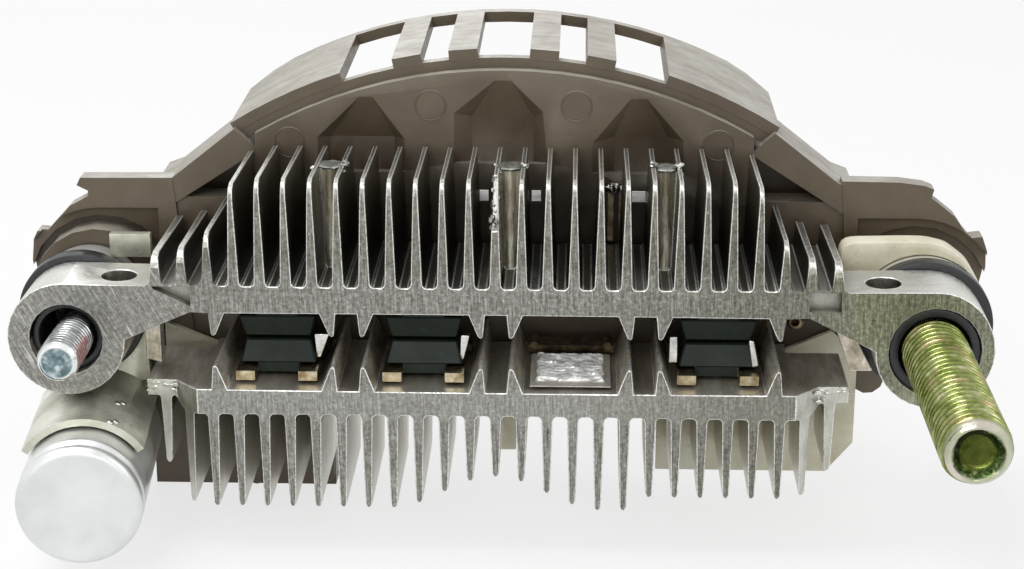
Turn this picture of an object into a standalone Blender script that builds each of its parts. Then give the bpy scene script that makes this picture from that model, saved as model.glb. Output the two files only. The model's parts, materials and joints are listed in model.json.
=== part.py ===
"""Alternator rectifier: two cast aluminium heat sinks with moulded diodes between them, carried by a
plastic housing on two studs, with a suppressor capacitor under the left ear.

Metres, +Z up, +Y away from the studs' free ends. The origin is midway between the two ear bores, in the
sanded front face of the heat sinks.
"""

import math

import bmesh
import bpy
from mathutils import Matrix, Vector

GAP = 0.0003
CUT_PAST = 0.0010
CUT_WIDE = 0.0020
STEP = 0.0001

# Studs and ears
STUD_SPACING = 0.10416
RIGHT_STUD_DROP = 0.0005
EAR_THICKNESS = 0.0085
EAR_RADIUS = 0.0071
LEFT_BORE = 0.0089
RIGHT_BORE = 0.0111
RIGHT_EAR_TOP = 0.0076
ARM_INNER_TOP = 0.0069
ARM_FOOT_Z = 0.0037
EAR_PIN_HOLE = 0.0043
EAR_PIN_HOLE_DEPTH = 0.0030
EAR_PIN_HOLE_Y = 0.0038
EAR_PIN_HOLE_REACH = 0.0061
ARM_LEG_FRONT = 0.0060
ARM_LEG_DEPTH = 0.0024
ARM_LEGS = {
    "left": [(-0.0437, 0.0045), (-0.0437, -0.0046), (-0.0418, -0.0051), (-0.0418, 0.0045)],
    "right": [(0.0394, 0.0045), (0.0428, -0.0052), (0.0456, -0.0052), (0.0404, 0.0045)],
}

# Heat sinks
SINK_DEPTH = 0.0180
SINK_MIDDLE_X = -0.00035
SINK_END_X = 0.0418
FIN_COUNT = 27
FIN_PITCH = 0.00312
FIN_ROOT_WIDTH = 0.00135
FIN_TIP_WIDTH = 0.00078
FIN_FILLET = 0.00038
KNEE_RADIUS = 0.0016
FIN_TOP_FALL = 0.0006
UPPER_PLATE_TOP = 0.00705
UPPER_PLATE_BOTTOM = 0.0035
LOWER_PLATE_TOP = -0.0062
LOWER_PLATE_BOTTOM = -0.0095
PLATE_HOLLOW = 0.00012
UPPER_FIN_TOP = 0.0201
UPPER_LEFT_END_TOPS = (0.0108, 0.0115, 0.0134, 0.0194)
UPPER_RIGHT_END_TOPS = (0.0104, 0.0108, 0.0129, 0.0194)
LOWER_LEFT_FIN_TIP = -0.0216
LOWER_RIGHT_FIN_TIP = -0.0198
LOWER_RIGHT_FINS_FROM_X = 0.0170
LOWER_END_FIN_TIP = -0.0172
NOTCH_RISE = 0.0043
NOTCH_HALF_WIDTH = 0.0128
BOSS_DIAMETER = 0.0030
BOSS_TOP = 0.0195
BOSS_AFTER_FINS = (6, 13, 19)
BROKEN_FIN = 13
BROKEN_FIN_FROM_Z = 0.0140
BROKEN_FIN_DEPTH = 0.0036
BROKEN_FIN_STEP = (0.0025, 0.0146)

# Ends of the heat sinks
LOWER_END_SETBACK = 0.0031
LOWER_END_REAR = 0.0148
LOWER_END_BEVEL_X = 0.0362
LOWER_END_LEDGE_X = 0.0392
LOWER_END_X = 0.0428
LOWER_END_THICKNESS = 0.0021
POCKET_DEPTH = 0.0013
END_POCKETS = {
    "left": [(-0.0414, 0.0069), (-0.0412, 0.0066), (-0.0368, 0.0044), (-0.0368, 0.0069)],
    "right": [(0.0369, 0.0069), (0.0369, 0.0045), (0.0407, 0.0045), (0.0407, 0.0069)],
}

# Cells between the heat sinks
CELL_COUNT = 4
CELL_PITCH = 0.01788
CELL_MIDDLE_X = -0.00030
CELL_WIDTH = 0.0114
CELL_SLOPE_RUN = 0.0012
CELL_WALL_TIP = 0.0005
UPPER_WALL_HEIGHT = 0.0028
LOWER_WALL_HEIGHT = 0.0030
CELLS_HALF_WIDTH = CELL_PITCH * (CELL_COUNT - 1) / 2 + CELL_WIDTH / 2 + CELL_SLOPE_RUN + CELL_WALL_TIP
ARM_FOOT_CLEARANCE = 0.00278
ARM_FOOT_X = CELLS_HALF_WIDTH + ARM_FOOT_CLEARANCE
DIODE_CELLS = (1, 2, 4)
EMPTY_CELL = 3

# Moulded diodes
DIODE_FRONT = 0.0045
DIODE_LENGTH = 0.0082
DIODE_WIDTH = 0.0094
DIODE_DRAFT = 0.00075
DIODE_GROOVE = 0.0004
DIODE_EDGE = 0.00018
BASE_WIDTH = 0.0099
BASE_HEIGHT = 0.0012
LEG_WIDTH = 0.0023
LEG_REACH = {"lower": 0.0021, "upper": 0.0}
BASE_SHELF = 0.0010
NECK_WIDTH = 0.0050
NECK_DEPTH = 0.0006

# Conductors at the back of the cells and the bare solder seat
CONDUCTOR_FRONT = 0.0133
CONDUCTOR_DEPTH = 0.0030
CONDUCTOR_HEIGHT = 0.0009
CONDUCTOR_WIDTH = 0.0107
PIN_DIAMETER = 0.0011
PIN_SPACING = 0.0092
PIN_REACH = 0.0003
PAD_WIDTH = 0.0098
PAD_FRONT = 0.0013
PAD_LENGTH = 0.0109
PAD_HEIGHT = 0.0003
PAD_CORNER = 0.0012

# Output stud and fixing stud
OUTPUT_STUD_DIAMETER = 0.0080
OUTPUT_STUD_TIP = -0.0305
OUTPUT_STUD_CHAMFER = 0.0009
FIXING_STUD_DIAMETER = 0.0050
FIXING_STUD_TIP = -0.0080
FIXING_STUD_CHAMFER = 0.0004
FIXING_STUD_OFFSET = 0.0007
OUTPUT_HEAD_DIAMETER = 0.0126
FIXING_HEAD_DIAMETER = 0.0094
BOLT_HEAD_HEIGHT = 0.0042
BOLT_HEAD_EDGE = 0.0008
RIGHT_BUSH_BORE = 0.0086
LEFT_BUSH_BORE = 0.0070
LEFT_BUSH_FRONT = 0.0012
RIGHT_BUSH_FRONT = 0.0004
LEFT_BUSH_LIP = 0.0007

# Rings behind the ears
LEFT_WASHER_DIAMETER = 0.0157
LEFT_WASHER_THICKNESS = 0.0024
RIGHT_WASHER_DIAMETER = 0.0168
RIGHT_WASHER_THICKNESS = 0.0022
RIGHT_WASHER_STEP = 0.0009
SPACER_DIAMETER = 0.0160
LEFT_SPACER_DIAMETER = 0.0136
SPACER_BORE_CLEARANCE = 0.0006
LEFT_SPACER_LENGTH = 0.0034
RIGHT_SPACER_LENGTH = 0.0031
COLLAR_RING_DEPTH = 0.0020
COLLAR_FLANGE = 0.0030
COLLAR_BOSS_RADIUS = 0.0076
COLLAR_BOSS_OVERLAP = 0.0006
COLLAR_EDGE = [
    (-0.0103, 0.0045), (-0.0103, 0.0091), (-0.0098, 0.0096), (-0.0028, 0.0098), (0.0002, 0.0098),
    (0.0028, 0.0092), (0.0054, 0.0072), (0.0069, 0.0047), (0.0079, 0.0017), (0.0075, -0.0025),
    (0.0049, -0.0065), (0.0009, -0.0083), (-0.0041, -0.0075), (-0.0071, -0.0035), (-0.0081, 0.0005),
]

# Capacitor under the left ear
CAN_DIAMETER = 0.0150
CAN_LENGTH = 0.0250
CAN_FRONT = Vector((-0.0490, -0.0120, -0.0166))
CAN_YAW = math.radians(5.0)
CAN_EDGE = 0.0009
CAN_GROOVE_START = 0.0013
CAN_GROOVE_WIDTH = 0.0016
CAN_GROOVE_DEPTH = 0.0005
CAN_RIM = 0.0009
SEAL_THICKNESS = 0.0016
SEAL_SPACE = 0.0006
SEAL_SETBACK = 0.0004
SADDLE_THICKNESS = 0.0009
SADDLE_HALF_ANGLE = math.radians(57.0)
SADDLE_FRONT = 0.0062
LUG_THICKNESS = 0.0012
LUG_DIAMETER = 0.0144
LUG_WIDTH = 0.0108
LUG_LEFT_X = -0.0566
LUG_RIGHT_X = -0.0444
LUG_CORNER_Z = -0.0094
LUG_CORNER_RUN = 0.0030
LUG_OVERLAP = 0.0004

# Housing
HOUSING_CLEARANCE = 0.0010
HOUSING_FRONT = SINK_DEPTH + HOUSING_CLEARANCE
WEB_THICKNESS = 0.0028
WEB_TOP_DROP = 0.0025
WEB_HALF_WIDTH = 0.0312
WEB_STEPS = 18
ARCH_TOP = 0.0315
ARCH_RADIUS = 0.0650
ARCH_CENTRE_Z = ARCH_TOP - ARCH_RADIUS
WEB_TOP_RADIUS = ARCH_RADIUS - WEB_TOP_DROP
ARCH_WALL = 0.0014
ARCH_RIM_WALL = 0.0028
ARCH_SETBACK = 0.0014
ARCH_DEPTH = 0.0236
ARCH_HALF_ANGLE = math.radians(32.0)
ARCH_RIM_DEPTH = 0.0016
BACK_RIM_DEPTH = 0.0018
ARCH_REAR_CORNER = (0.0055, 0.0015)
CENTRE_WINDOW = math.radians(2.9)
SMALL_WINDOW = (math.radians(6.1), math.radians(9.2))
LARGE_WINDOW = (math.radians(12.4), math.radians(18.4))
ARCH_SILL_DROP = 0.0012
WEB_BOTTOM = 0.0118
WEB_RECESS_DEPTH = 0.0022
WEB_RECESSES = [
    ([(-0.0180, 0.0255), (-0.0163, 0.0255), (-0.0124, 0.0202), (-0.0122, 0.0160), (-0.0233, 0.0160),
      (-0.0233, 0.0203)], (-0.0219, 0.0156, -0.0138, 0.0199)),
    ([(-0.0011, 0.0277), (0.0009, 0.0277), (0.0049, 0.0238), (0.0055, 0.0172), (-0.0062, 0.0172),
      (-0.0062, 0.0235)], (-0.0040, 0.0168, 0.0037, 0.0226)),
    ([(0.0158, 0.0255), (0.0178, 0.0255), (0.0224, 0.0202), (0.0226, 0.0160), (0.0111, 0.0160),
      (0.0111, 0.0198)], (0.0139, 0.0156, 0.0206, 0.0201)),
]
LEAD_SLOTS = ((-0.0031, -0.0019), (0.0035, 0.0047), (0.0161, 0.0179))
LEAD_SLOT_BOTTOM = 0.0122
BEAM_EDGE = [(0.0338, 0.0212), (0.0419, 0.0148), (0.0440, 0.0140), (0.0450, 0.0093), (0.0308, 0.0185)]
BEAM_DEPTH = 0.0100
DEEP_WALL_SETBACK = 0.0085
DEEP_WALL_FRONT = HOUSING_FRONT + DEEP_WALL_SETBACK
DEEP_WALL_THICKNESS = 0.0012
DEEP_WALL_EDGE = [(0.0282, 0.0020), (0.0445, 0.0020), (0.0445, 0.0100), (0.0320, 0.0200), (0.0282, 0.0200)]
BLOCK_PLATE_DEPTH = 0.0026
BLOCK_DEPTH = 0.0060
BLOCK_BOSS_RADIUS = 0.0076
LEFT_BOSS_RADIUS = 0.0087
BLOCK_EDGES = {
    "left": [(-0.0419, 0.0148), (-0.0536, 0.0147), (-0.0541, 0.0137), (-0.0527, 0.0130), (-0.0527, 0.0123),
             (-0.0551, 0.0110), (-0.0571, 0.0088), (-0.0583, 0.0075), (-0.0595, 0.0076), (-0.0603, 0.0060),
             (-0.0606, 0.0034), (-0.0601, 0.0), (-0.0575, -0.0070), (-0.0520, -0.0110), (-0.0470, -0.0100),
             (-0.0400, -0.0060)],
    "right": [(0.0424, 0.0151), (0.0495, 0.0150), (0.0527, 0.0146), (0.0539, 0.0141), (0.0536, 0.0130),
              (0.0547, 0.0122), (0.0567, 0.0106), (0.0580, 0.0087), (0.0588, 0.0078), (0.0603, 0.0080),
              (0.0610, 0.0061), (0.0611, 0.0037), (0.0604, 0.0), (0.0575, -0.0070), (0.0530, -0.0110),
              (0.0490, -0.0112), (0.0486, -0.0124), (0.0476, -0.0132), (0.0464, -0.0133), (0.0453, -0.0127),
              (0.0448, -0.0115), (0.0440, -0.0060)],
}
OUTER_RECESS_DEPTH = 0.0010
OUTER_RECESS_RADIUS = 0.0108
OUTER_RECESS_CORNER = (0.0075, 0.0050)
RECESS_RADIUS = 0.0096
RECESS_DEPTH = 0.0022
MIDDLE_WALL_BOTTOM = -0.0090
MIDDLE_WALL_HALF_WIDTH = 0.0440
MIDDLE_WALL_SETBACK = 0.0006
MIDDLE_WALL_FRONT = HOUSING_FRONT + MIDDLE_WALL_SETBACK
MIDDLE_WALL_THICKNESS = 0.0040
APRON_LEFT_X = -0.0460
APRON_RIGHT_X = -0.0222
APRON_BOTTOM = -0.0272
APRON_THICKNESS = 0.0042
LEAD_SLOT_HEIGHT = 0.0014

# Insulators and small metal parts
SHEET_THICKNESS = 0.0008
REAR_SHEET_LEFT_X = 0.0198
REAR_SHEET_RIGHT_X = 0.0453
REAR_SHEET_BOTTOM = -0.0240
REAR_SHEET_CHAMFER = (0.0034, 0.0041)
REAR_SHEET_PEAK = [(0.0453, -0.0082), (0.0431, -0.0056), (0.0419, -0.0046), (0.0360, -0.0072)]
SHEET_DROP = 0.0010
LEFT_SHEET_EDGE = [(-0.0436, -0.0110), (-0.0360, -0.0110), (-0.0358, -0.0075), (-0.0436, -0.0042)]
TERMINAL_EDGE = (-0.0490, 0.0062, -0.0439, 0.0092)
TERMINAL_FRONT = 0.0132
TERMINAL_THICKNESS = 0.0010
CLIP_LEFT_X = 0.0131
CLIP_RIGHT_X = 0.0152
CLIP_BOTTOM = 0.0073
CLIP_TOP = 0.0148
CLIP_WIRE = 0.0007
CLIP_THICKNESS = 0.0004
RIVET_CENTRE = (0.0371, 0.0, -0.0030)
RIVET_HEAD_DIAMETER = 0.0022
RIVET_LENGTH = 0.0022
RIVET_EDGE = 0.0003
RIVET_EYE_SHARE = 0.5
RIVET_EYE_DEPTH = 0.0012

LEFT_STUD = Vector((-STUD_SPACING / 2, 0.0, 0.0))
LEFT_STUD_AXIS = LEFT_STUD + Vector((FIXING_STUD_OFFSET, 0.0, 0.0))
RIGHT_STUD = Vector((STUD_SPACING / 2, 0.0, -RIGHT_STUD_DROP))
ROUND_STEPS = 24
HOUSING_ROUND_STEPS = 20


def clear_scene():
    """Remove what the startup scene holds."""
    for obj in list(bpy.data.objects):
        bpy.data.objects.remove(obj, do_unlink=True)


def material(name, colour, roughness, metallic):
    """A Principled material in one colour."""
    mat = bpy.data.materials.new(name)
    mat.use_nodes = True
    shader = mat.node_tree.nodes["Principled BSDF"]
    shader.inputs["Base Color"].default_value = (*colour, 1.0)
    shader.inputs["Roughness"].default_value = roughness
    shader.inputs["Metallic"].default_value = metallic
    return mat


def collection(name):
    """A new collection in the scene."""
    group = bpy.data.collections.new(name)
    bpy.context.scene.collection.children.link(group)
    return group


def add_part(name, mesh, mat):
    """An object of the rectifier that shows."""
    obj = bpy.data.objects.new(name, mesh)
    mesh.materials.clear()
    mesh.materials.append(mat)
    PARTS.objects.link(obj)
    return obj


def add_tool(name, mesh):
    """A cutter, or a body that is joined to a part by a Boolean."""
    obj = bpy.data.objects.new(name, mesh)
    TOOLS.objects.link(obj)
    obj.hide_render = True
    obj.display_type = "WIRE"
    return obj


def boolean(target, tool, operation):
    """Join or cut a part with a tool body."""
    modifier = target.modifiers.new(operation.title() + " " + tool.name, "BOOLEAN")
    modifier.operation = operation
    modifier.solver = "EXACT"
    modifier.object = tool


def join(target, tool):
    boolean(target, tool, "UNION")


def cut(target, tool):
    boolean(target, tool, "DIFFERENCE")


def axis_matrix(axis):
    """Turns an outline's own x, y and thickness to the axis that it is extruded along."""
    columns = {
        "X": ((0, 1, 0), (0, 0, 1), (1, 0, 0)),
        "Y": ((1, 0, 0), (0, 0, 1), (0, -1, 0)),
        "Z": ((1, 0, 0), (0, 1, 0), (0, 0, 1)),
    }[axis]
    return Matrix(columns).transposed().to_4x4()


def prism_mesh(name, outlines, start, depth, axis):
    """Mesh of flat closed outlines, inner ones being holes, from start to start + depth along an axis."""
    curve = bpy.data.curves.new(name, "CURVE")
    curve.dimensions = "2D"
    curve.fill_mode = "BOTH"
    curve.extrude = depth / 2
    for outline in outlines:
        spline = curve.splines.new("POLY")
        spline.points.add(len(outline) - 1)
        for point, place in zip(spline.points, outline):
            point.co = (place[0], place[1], 0.0, 1.0)
        spline.use_cyclic_u = True
    obj = bpy.data.objects.new(name, curve)
    bpy.context.scene.collection.objects.link(obj)
    bpy.context.view_layer.update()
    evaluated = obj.evaluated_get(bpy.context.evaluated_depsgraph_get())
    mesh = bpy.data.meshes.new_from_object(evaluated)
    bpy.data.objects.remove(obj, do_unlink=True)
    bpy.data.curves.remove(curve)
    middle = start + depth / 2
    offset = {"X": (middle, 0, 0), "Y": (0, middle, 0), "Z": (0, 0, middle)}[axis]
    mesh.transform(Matrix.Translation(offset) @ axis_matrix(axis))
    form = bmesh.new()
    form.from_mesh(mesh)
    bmesh.ops.remove_doubles(form, verts=form.verts, dist=0.000001)
    bmesh.ops.dissolve_limit(form, angle_limit=0.002, verts=form.verts, edges=form.edges)
    bmesh.ops.recalc_face_normals(form, faces=form.faces)
    form.to_mesh(mesh)
    form.free()
    return mesh


def prism(name, outlines, start, depth, axis, mat):
    """A part made of flat outlines."""
    return add_part(name, prism_mesh(name, outlines, start, depth, axis), mat)


def prism_tool(name, outlines, start, depth, axis):
    """A cutter or joined body made of flat outlines."""
    return add_tool(name, prism_mesh(name, outlines, start, depth, axis))


def rectangle(left, bottom, right, top):
    """Outline of a rectangle."""
    return [(left, bottom), (right, bottom), (right, top), (left, top)]


def arc(centre_x, centre_y, radius, first, last, steps, radius_y=None):
    """Points on a circular or elliptical arc, both ends included."""
    tall = radius if radius_y is None else radius_y
    points = []
    for step in range(steps + 1):
        angle = first + (last - first) * step / steps
        points.append((centre_x + radius * math.cos(angle), centre_y + tall * math.sin(angle)))
    return points


def circle(centre_x, centre_y, radius, steps=ROUND_STEPS, first=0.05):
    """Closed circle of points."""
    return arc(centre_x, centre_y, radius, first, first + 2 * math.pi * (steps - 1) / steps, steps - 1)


def turned(name, profile, centre, mat, steps=ROUND_STEPS, ring=False, tool=False):
    """A turned shape about an axis along Y. The profile lists (radius, y), outer side from back to front."""
    mesh = bpy.data.meshes.new(name)
    edges = [(i, i + 1) for i in range(len(profile) - 1)]
    if ring:
        edges.append((len(profile) - 1, 0))
    mesh.from_pydata([(radius, 0.0, y) for radius, y in profile], edges, [])
    obj = add_tool(name, mesh) if tool else add_part(name, mesh, mat)
    screw = obj.modifiers.new("Turn", "SCREW")
    screw.axis = "Z"
    screw.steps = steps
    screw.render_steps = steps
    screw.use_merge_vertices = True
    screw.merge_threshold = 0.00001
    screw.use_smooth_shade = False
    obj.location = (centre[0], 0.0, centre[2])
    obj.rotation_euler = (-math.pi / 2, 0.0, 0.0)
    return obj


def ring_profile(outer, inner, front, back):
    """Profile of a plain ring."""
    return [(outer, back), (outer, front), (inner, front), (inner, back)]


def disc_profile(radius, front, back):
    """Profile of a plain disc or rod."""
    return [(0.0, back), (radius, back), (radius, front), (0.0, front)]


def fin_x(index):
    """Middle of a fin."""
    return SINK_MIDDLE_X + (index - (FIN_COUNT - 1) / 2) * FIN_PITCH


def upper_fin_tip(index):
    """Height of an upper fin: tall ones in the middle, short ones at both ends."""
    from_right = FIN_COUNT - 1 - index
    if index < len(UPPER_LEFT_END_TOPS):
        return UPPER_LEFT_END_TOPS[index]
    if from_right < len(UPPER_RIGHT_END_TOPS):
        return UPPER_RIGHT_END_TOPS[from_right]
    return UPPER_FIN_TOP


def uncut_fin_tip(index):
    """Height of an upper fin before its top is cut to the knee."""
    return upper_fin_tip(index) + KNEE_RADIUS


def lower_fin_tip(index):
    """Lower end of a lower fin: a rounded notch in the middle and a shorter fin at each end."""
    if index in (0, FIN_COUNT - 1):
        return LOWER_END_FIN_TIP
    x = fin_x(index)
    if x > LOWER_RIGHT_FINS_FROM_X:
        return LOWER_RIGHT_FIN_TIP
    offset = abs(x - SINK_MIDDLE_X)
    if offset >= NOTCH_HALF_WIDTH:
        return LOWER_LEFT_FIN_TIP
    return LOWER_LEFT_FIN_TIP + NOTCH_RISE * (1 + math.cos(math.pi * offset / NOTCH_HALF_WIDTH)) / 2


def hollow(x):
    """How far a plate's face falls in towards the middle of the casting."""
    return PLATE_HOLLOW * (1 - ((x - SINK_MIDDLE_X) / SINK_END_X) ** 2)


def fin_outline(x, root, tip, way):
    """One fin from left to right: fillet, flank, rounded tip, flank, fillet. way is +1 up, -1 down."""
    half_root = FIN_ROOT_WIDTH / 2
    half_tip = FIN_TIP_WIDTH / 2
    corner = FIN_FILLET * (1 - math.sqrt(0.5))
    left = [
        (x - half_root - FIN_FILLET, root),
        (x - half_root - corner, root + way * corner),
        (x - half_root, root + way * FIN_FILLET),
        (x - half_tip, tip - way * half_tip),
        (x - half_tip / 2, tip),
    ]
    points = left + [(2 * x - place, height) for place, height in reversed(left)]
    for end in (0, -1):
        place, height = points[end]
        points[end] = (place, height - way * hollow(place))
    return points


def cell_x(number):
    """Middle of a cell, numbered from 1 at the left."""
    return CELL_MIDDLE_X + (number - (CELL_COUNT + 1) / 2) * CELL_PITCH


def cell_side(face, height, way):
    """Underside of the upper plate, or top of the lower one, from left to right with its cell walls."""
    half = CELL_WIDTH / 2
    points = []
    for number in range(1, CELL_COUNT + 1):
        x = cell_x(number)
        outer = half + CELL_SLOPE_RUN + CELL_WALL_TIP
        crest = face + way * height
        shoulder = face + way * (height - CELL_WALL_TIP / 2)
        left = [
            (x - outer - CELL_WALL_TIP / 2, face),
            (x - outer, shoulder),
            (x - outer + CELL_WALL_TIP / 4, crest),
            (x - outer + CELL_WALL_TIP * 3 / 4, crest),
            (x - half - CELL_SLOPE_RUN + CELL_WALL_TIP / 4, shoulder),
            (x - half, face),
        ]
        right = [(2 * x - place, z) for place, z in reversed(left)]
        for place, z in left + right:
            at_face = abs(z - face) < CELL_WALL_TIP / 10
            points.append((place, z - way * hollow(place) if at_face else z))
    return points


def finned_side(fin_face, way, tip_of, end_face):
    """Fins from left to right, the outermost two standing on the end face."""
    points = []
    for index in range(FIN_COUNT):
        at_end = index in (0, FIN_COUNT - 1)
        points += fin_outline(fin_x(index), end_face if at_end else fin_face, tip_of(index), way)
    return points


def ear_outline(centre, side, top):
    """Ear and arm from the plate's underside, round the ear to the arm's top. side is -1 left, +1 right."""
    x, z = centre.x, centre.z
    below = arc(x, z, EAR_RADIUS, 0.0, -math.pi, 16)
    above = arc(x, z, EAR_RADIUS, math.pi, math.pi / 2, 8, top)
    points = below + above[1:]
    if side > 0:
        points = [(2 * x - place, height) for place, height in points]
    points = [(side * ARM_FOOT_X, ARM_FOOT_Z)] + points
    return points + [(SINK_MIDDLE_X + side * SINK_END_X, ARM_INNER_TOP)]


def knee_cutter(name, left, right, top):
    """What a fin's top loses: a rounded front corner and a slight fall to the back."""
    out = CUT_WIDE
    radius = KNEE_RADIUS
    rounding = arc(radius, top - radius, radius, math.pi, math.pi / 2, 2)
    outline = [(-out, top - radius), (0.0, top - radius)] + rounding[1:]
    outline += [(SINK_DEPTH, top - FIN_TOP_FALL), (SINK_DEPTH + out, top - FIN_TOP_FALL)]
    outline += [(SINK_DEPTH + out, top + out), (-out, top + out)]
    return prism_tool(name, [outline], left, right - left, "X")


def build_upper_sink(mat):
    """Upper casting."""
    outline = ear_outline(LEFT_STUD, -1, EAR_RADIUS)
    outline += finned_side(UPPER_PLATE_TOP, 1, uncut_fin_tip, UPPER_PLATE_TOP)
    outline += list(reversed(ear_outline(RIGHT_STUD, 1, RIGHT_EAR_TOP)))
    outline += list(reversed(cell_side(UPPER_PLATE_BOTTOM, UPPER_WALL_HEIGHT, -1)))
    sink = prism("upper_heat_sink", [outline], 0.0, SINK_DEPTH, "Y", mat)
    for side, label in ((-1, "left"), (1, "right")):
        far = side * (STUD_SPACING / 2 + EAR_RADIUS + CUT_WIDE)
        end = SINK_MIDDLE_X + side * SINK_END_X
        foot = side * (ARM_FOOT_X - STEP * 2)
        low = -EAR_RADIUS - CUT_WIDE
        step = UPPER_PLATE_BOTTOM + STEP
        high = UPPER_PLATE_TOP + CUT_WIDE
        outline = [(far, low), (foot, low), (foot, step), (end, step), (end, high), (far, high)]
        cut(sink, prism_tool(label + "_behind_ear", [outline], EAR_THICKNESS, SINK_DEPTH, "Y"))
    for index in BOSS_AFTER_FINS:
        x = fin_x(index) + FIN_PITCH / 2
        outline = circle(x, SINK_DEPTH / 2, BOSS_DIAMETER / 2, 20)
        foot = UPPER_PLATE_BOTTOM + CUT_PAST
        join(sink, prism_tool("boss_%d" % index, [outline], foot, BOSS_TOP - foot, "Z"))
    for label in ("left", "right"):
        join(sink, prism_tool(label + "_leg", [ARM_LEGS[label]], ARM_LEG_FRONT, ARM_LEG_DEPTH, "Y"))
        depth = POCKET_DEPTH + CUT_PAST
        cut(sink, prism_tool(label + "_pocket", [END_POCKETS[label]], -CUT_PAST, depth, "Y"))
    last = FIN_COUNT - 1
    half = FIN_PITCH / 2 - STEP / 2
    first_tall = len(UPPER_LEFT_END_TOPS)
    last_tall = last - len(UPPER_RIGHT_END_TOPS)
    cut(sink, knee_cutter("tall_knee", fin_x(first_tall) - half, fin_x(last_tall) + half, UPPER_FIN_TOP))
    for index in list(range(first_tall)) + list(range(last_tall + 1, FIN_COUNT)):
        tip = upper_fin_tip(index)
        cut(sink, knee_cutter("knee_%02d" % index, fin_x(index) - half, fin_x(index) + half, tip))
    for label, stud, bore in (("left", LEFT_STUD, LEFT_BORE), ("right", RIGHT_STUD, RIGHT_BORE)):
        outline = circle(stud.x, stud.z, bore / 2)
        depth = EAR_THICKNESS + CUT_PAST * 2
        cut(sink, prism_tool(label + "_bore", [outline], -CUT_PAST, depth, "Y"))
        side = -1 if stud.x < 0 else 1
        outline = circle(stud.x - side * EAR_PIN_HOLE_REACH, EAR_PIN_HOLE_Y, EAR_PIN_HOLE / 2, 24)
        foot = UPPER_PLATE_TOP - EAR_PIN_HOLE_DEPTH
        depth = EAR_PIN_HOLE_DEPTH + CUT_PAST
        cut(sink, prism_tool(label + "_pin_hole", [outline], foot, depth, "Z"))
    left = fin_x(BROKEN_FIN) - FIN_ROOT_WIDTH
    high = UPPER_FIN_TOP + CUT_PAST
    outline = [(-CUT_PAST, BROKEN_FIN_FROM_Z), BROKEN_FIN_STEP, (BROKEN_FIN_DEPTH, high), (-CUT_PAST, high)]
    cut(sink, prism_tool("broken_front", [outline], left, FIN_ROOT_WIDTH * 2, "X"))
    return sink


def build_lower_sink(mat):
    """Lower casting, with its ends set back from the sanded face."""
    end_face = LOWER_PLATE_TOP - LOWER_END_THICKNESS
    left, right = SINK_MIDDLE_X - LOWER_END_X, SINK_MIDDLE_X + LOWER_END_X
    outline = [(left, LOWER_PLATE_TOP), (left, end_face)]
    outline += finned_side(LOWER_PLATE_BOTTOM, -1, lower_fin_tip, end_face)
    outline += [(right, end_face), (right, LOWER_PLATE_TOP)]
    outline += list(reversed(cell_side(LOWER_PLATE_TOP, LOWER_WALL_HEIGHT, 1)))
    sink = prism("lower_heat_sink", [outline], 0.0, SINK_DEPTH, "Y", mat)
    bottom = LOWER_LEFT_FIN_TIP - CUT_PAST
    tall = LOWER_PLATE_TOP + LOWER_WALL_HEIGHT + CUT_PAST - bottom
    out = CUT_WIDE
    for side, label in ((-1, "left"), (1, "right")):
        far = SINK_MIDDLE_X + side * (LOWER_END_X + out)
        bevel = SINK_MIDDLE_X + side * LOWER_END_BEVEL_X
        ledge = SINK_MIDDLE_X + side * LOWER_END_LEDGE_X
        slope = LOWER_END_SETBACK / (LOWER_END_LEDGE_X - LOWER_END_BEVEL_X)
        outline = [(bevel - side * out / slope, -out), (far, -out), (far, LOWER_END_SETBACK)]
        outline += [(ledge, LOWER_END_SETBACK)]
        cut(sink, prism_tool(label + "_end_front", [outline], bottom, tall, "Z"))
        outline = rectangle(min(bevel, far), LOWER_END_REAR, max(bevel, far), SINK_DEPTH + out)
        cut(sink, prism_tool(label + "_end_rear", [outline], bottom, tall, "Z"))
    return sink


def stud(name, centre, diameter, head_diameter, tip, chamfer, mat):
    """Bolt: shank with a chamfered free end and a round head behind the housing."""
    seat = HOUSING_FRONT + BLOCK_DEPTH + GAP
    back = seat + BOLT_HEAD_HEIGHT
    radius = diameter / 2
    head = head_diameter / 2
    edge = BOLT_HEAD_EDGE
    profile = [(0.0, back), (head - edge, back), (head, back - edge), (head, seat), (radius, seat)]
    profile += [(radius, tip + chamfer), (radius - chamfer, tip), (0.0, tip)]
    return turned(name, profile, centre, mat)


def build_studs(zinc_yellow, zinc_white, black_moulding):
    """Studs and the bushes that insulate them from the ears."""
    stud("output_stud", RIGHT_STUD, OUTPUT_STUD_DIAMETER, OUTPUT_HEAD_DIAMETER, OUTPUT_STUD_TIP,
         OUTPUT_STUD_CHAMFER, zinc_yellow)
    stud("fixing_stud", LEFT_STUD_AXIS, FIXING_STUD_DIAMETER, FIXING_HEAD_DIAMETER, FIXING_STUD_TIP,
         FIXING_STUD_CHAMFER, zinc_white)
    outer = RIGHT_BORE / 2 - GAP / 3
    profile = ring_profile(outer, RIGHT_BUSH_BORE / 2, RIGHT_BUSH_FRONT, EAR_THICKNESS)
    turned("right_bush", profile, RIGHT_STUD, black_moulding, ring=True)
    outer = LEFT_BORE / 2 - GAP / 3
    inner = LEFT_BUSH_BORE / 2
    lip = LEFT_BUSH_LIP
    profile = [(outer, EAR_THICKNESS), (outer, LEFT_BUSH_FRONT), (inner + lip, LEFT_BUSH_FRONT)]
    profile += [(inner + lip, LEFT_BUSH_FRONT + lip), (inner, LEFT_BUSH_FRONT + lip), (inner, EAR_THICKNESS)]
    turned("left_bush", profile, LEFT_STUD, black_moulding, ring=True)


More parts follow.
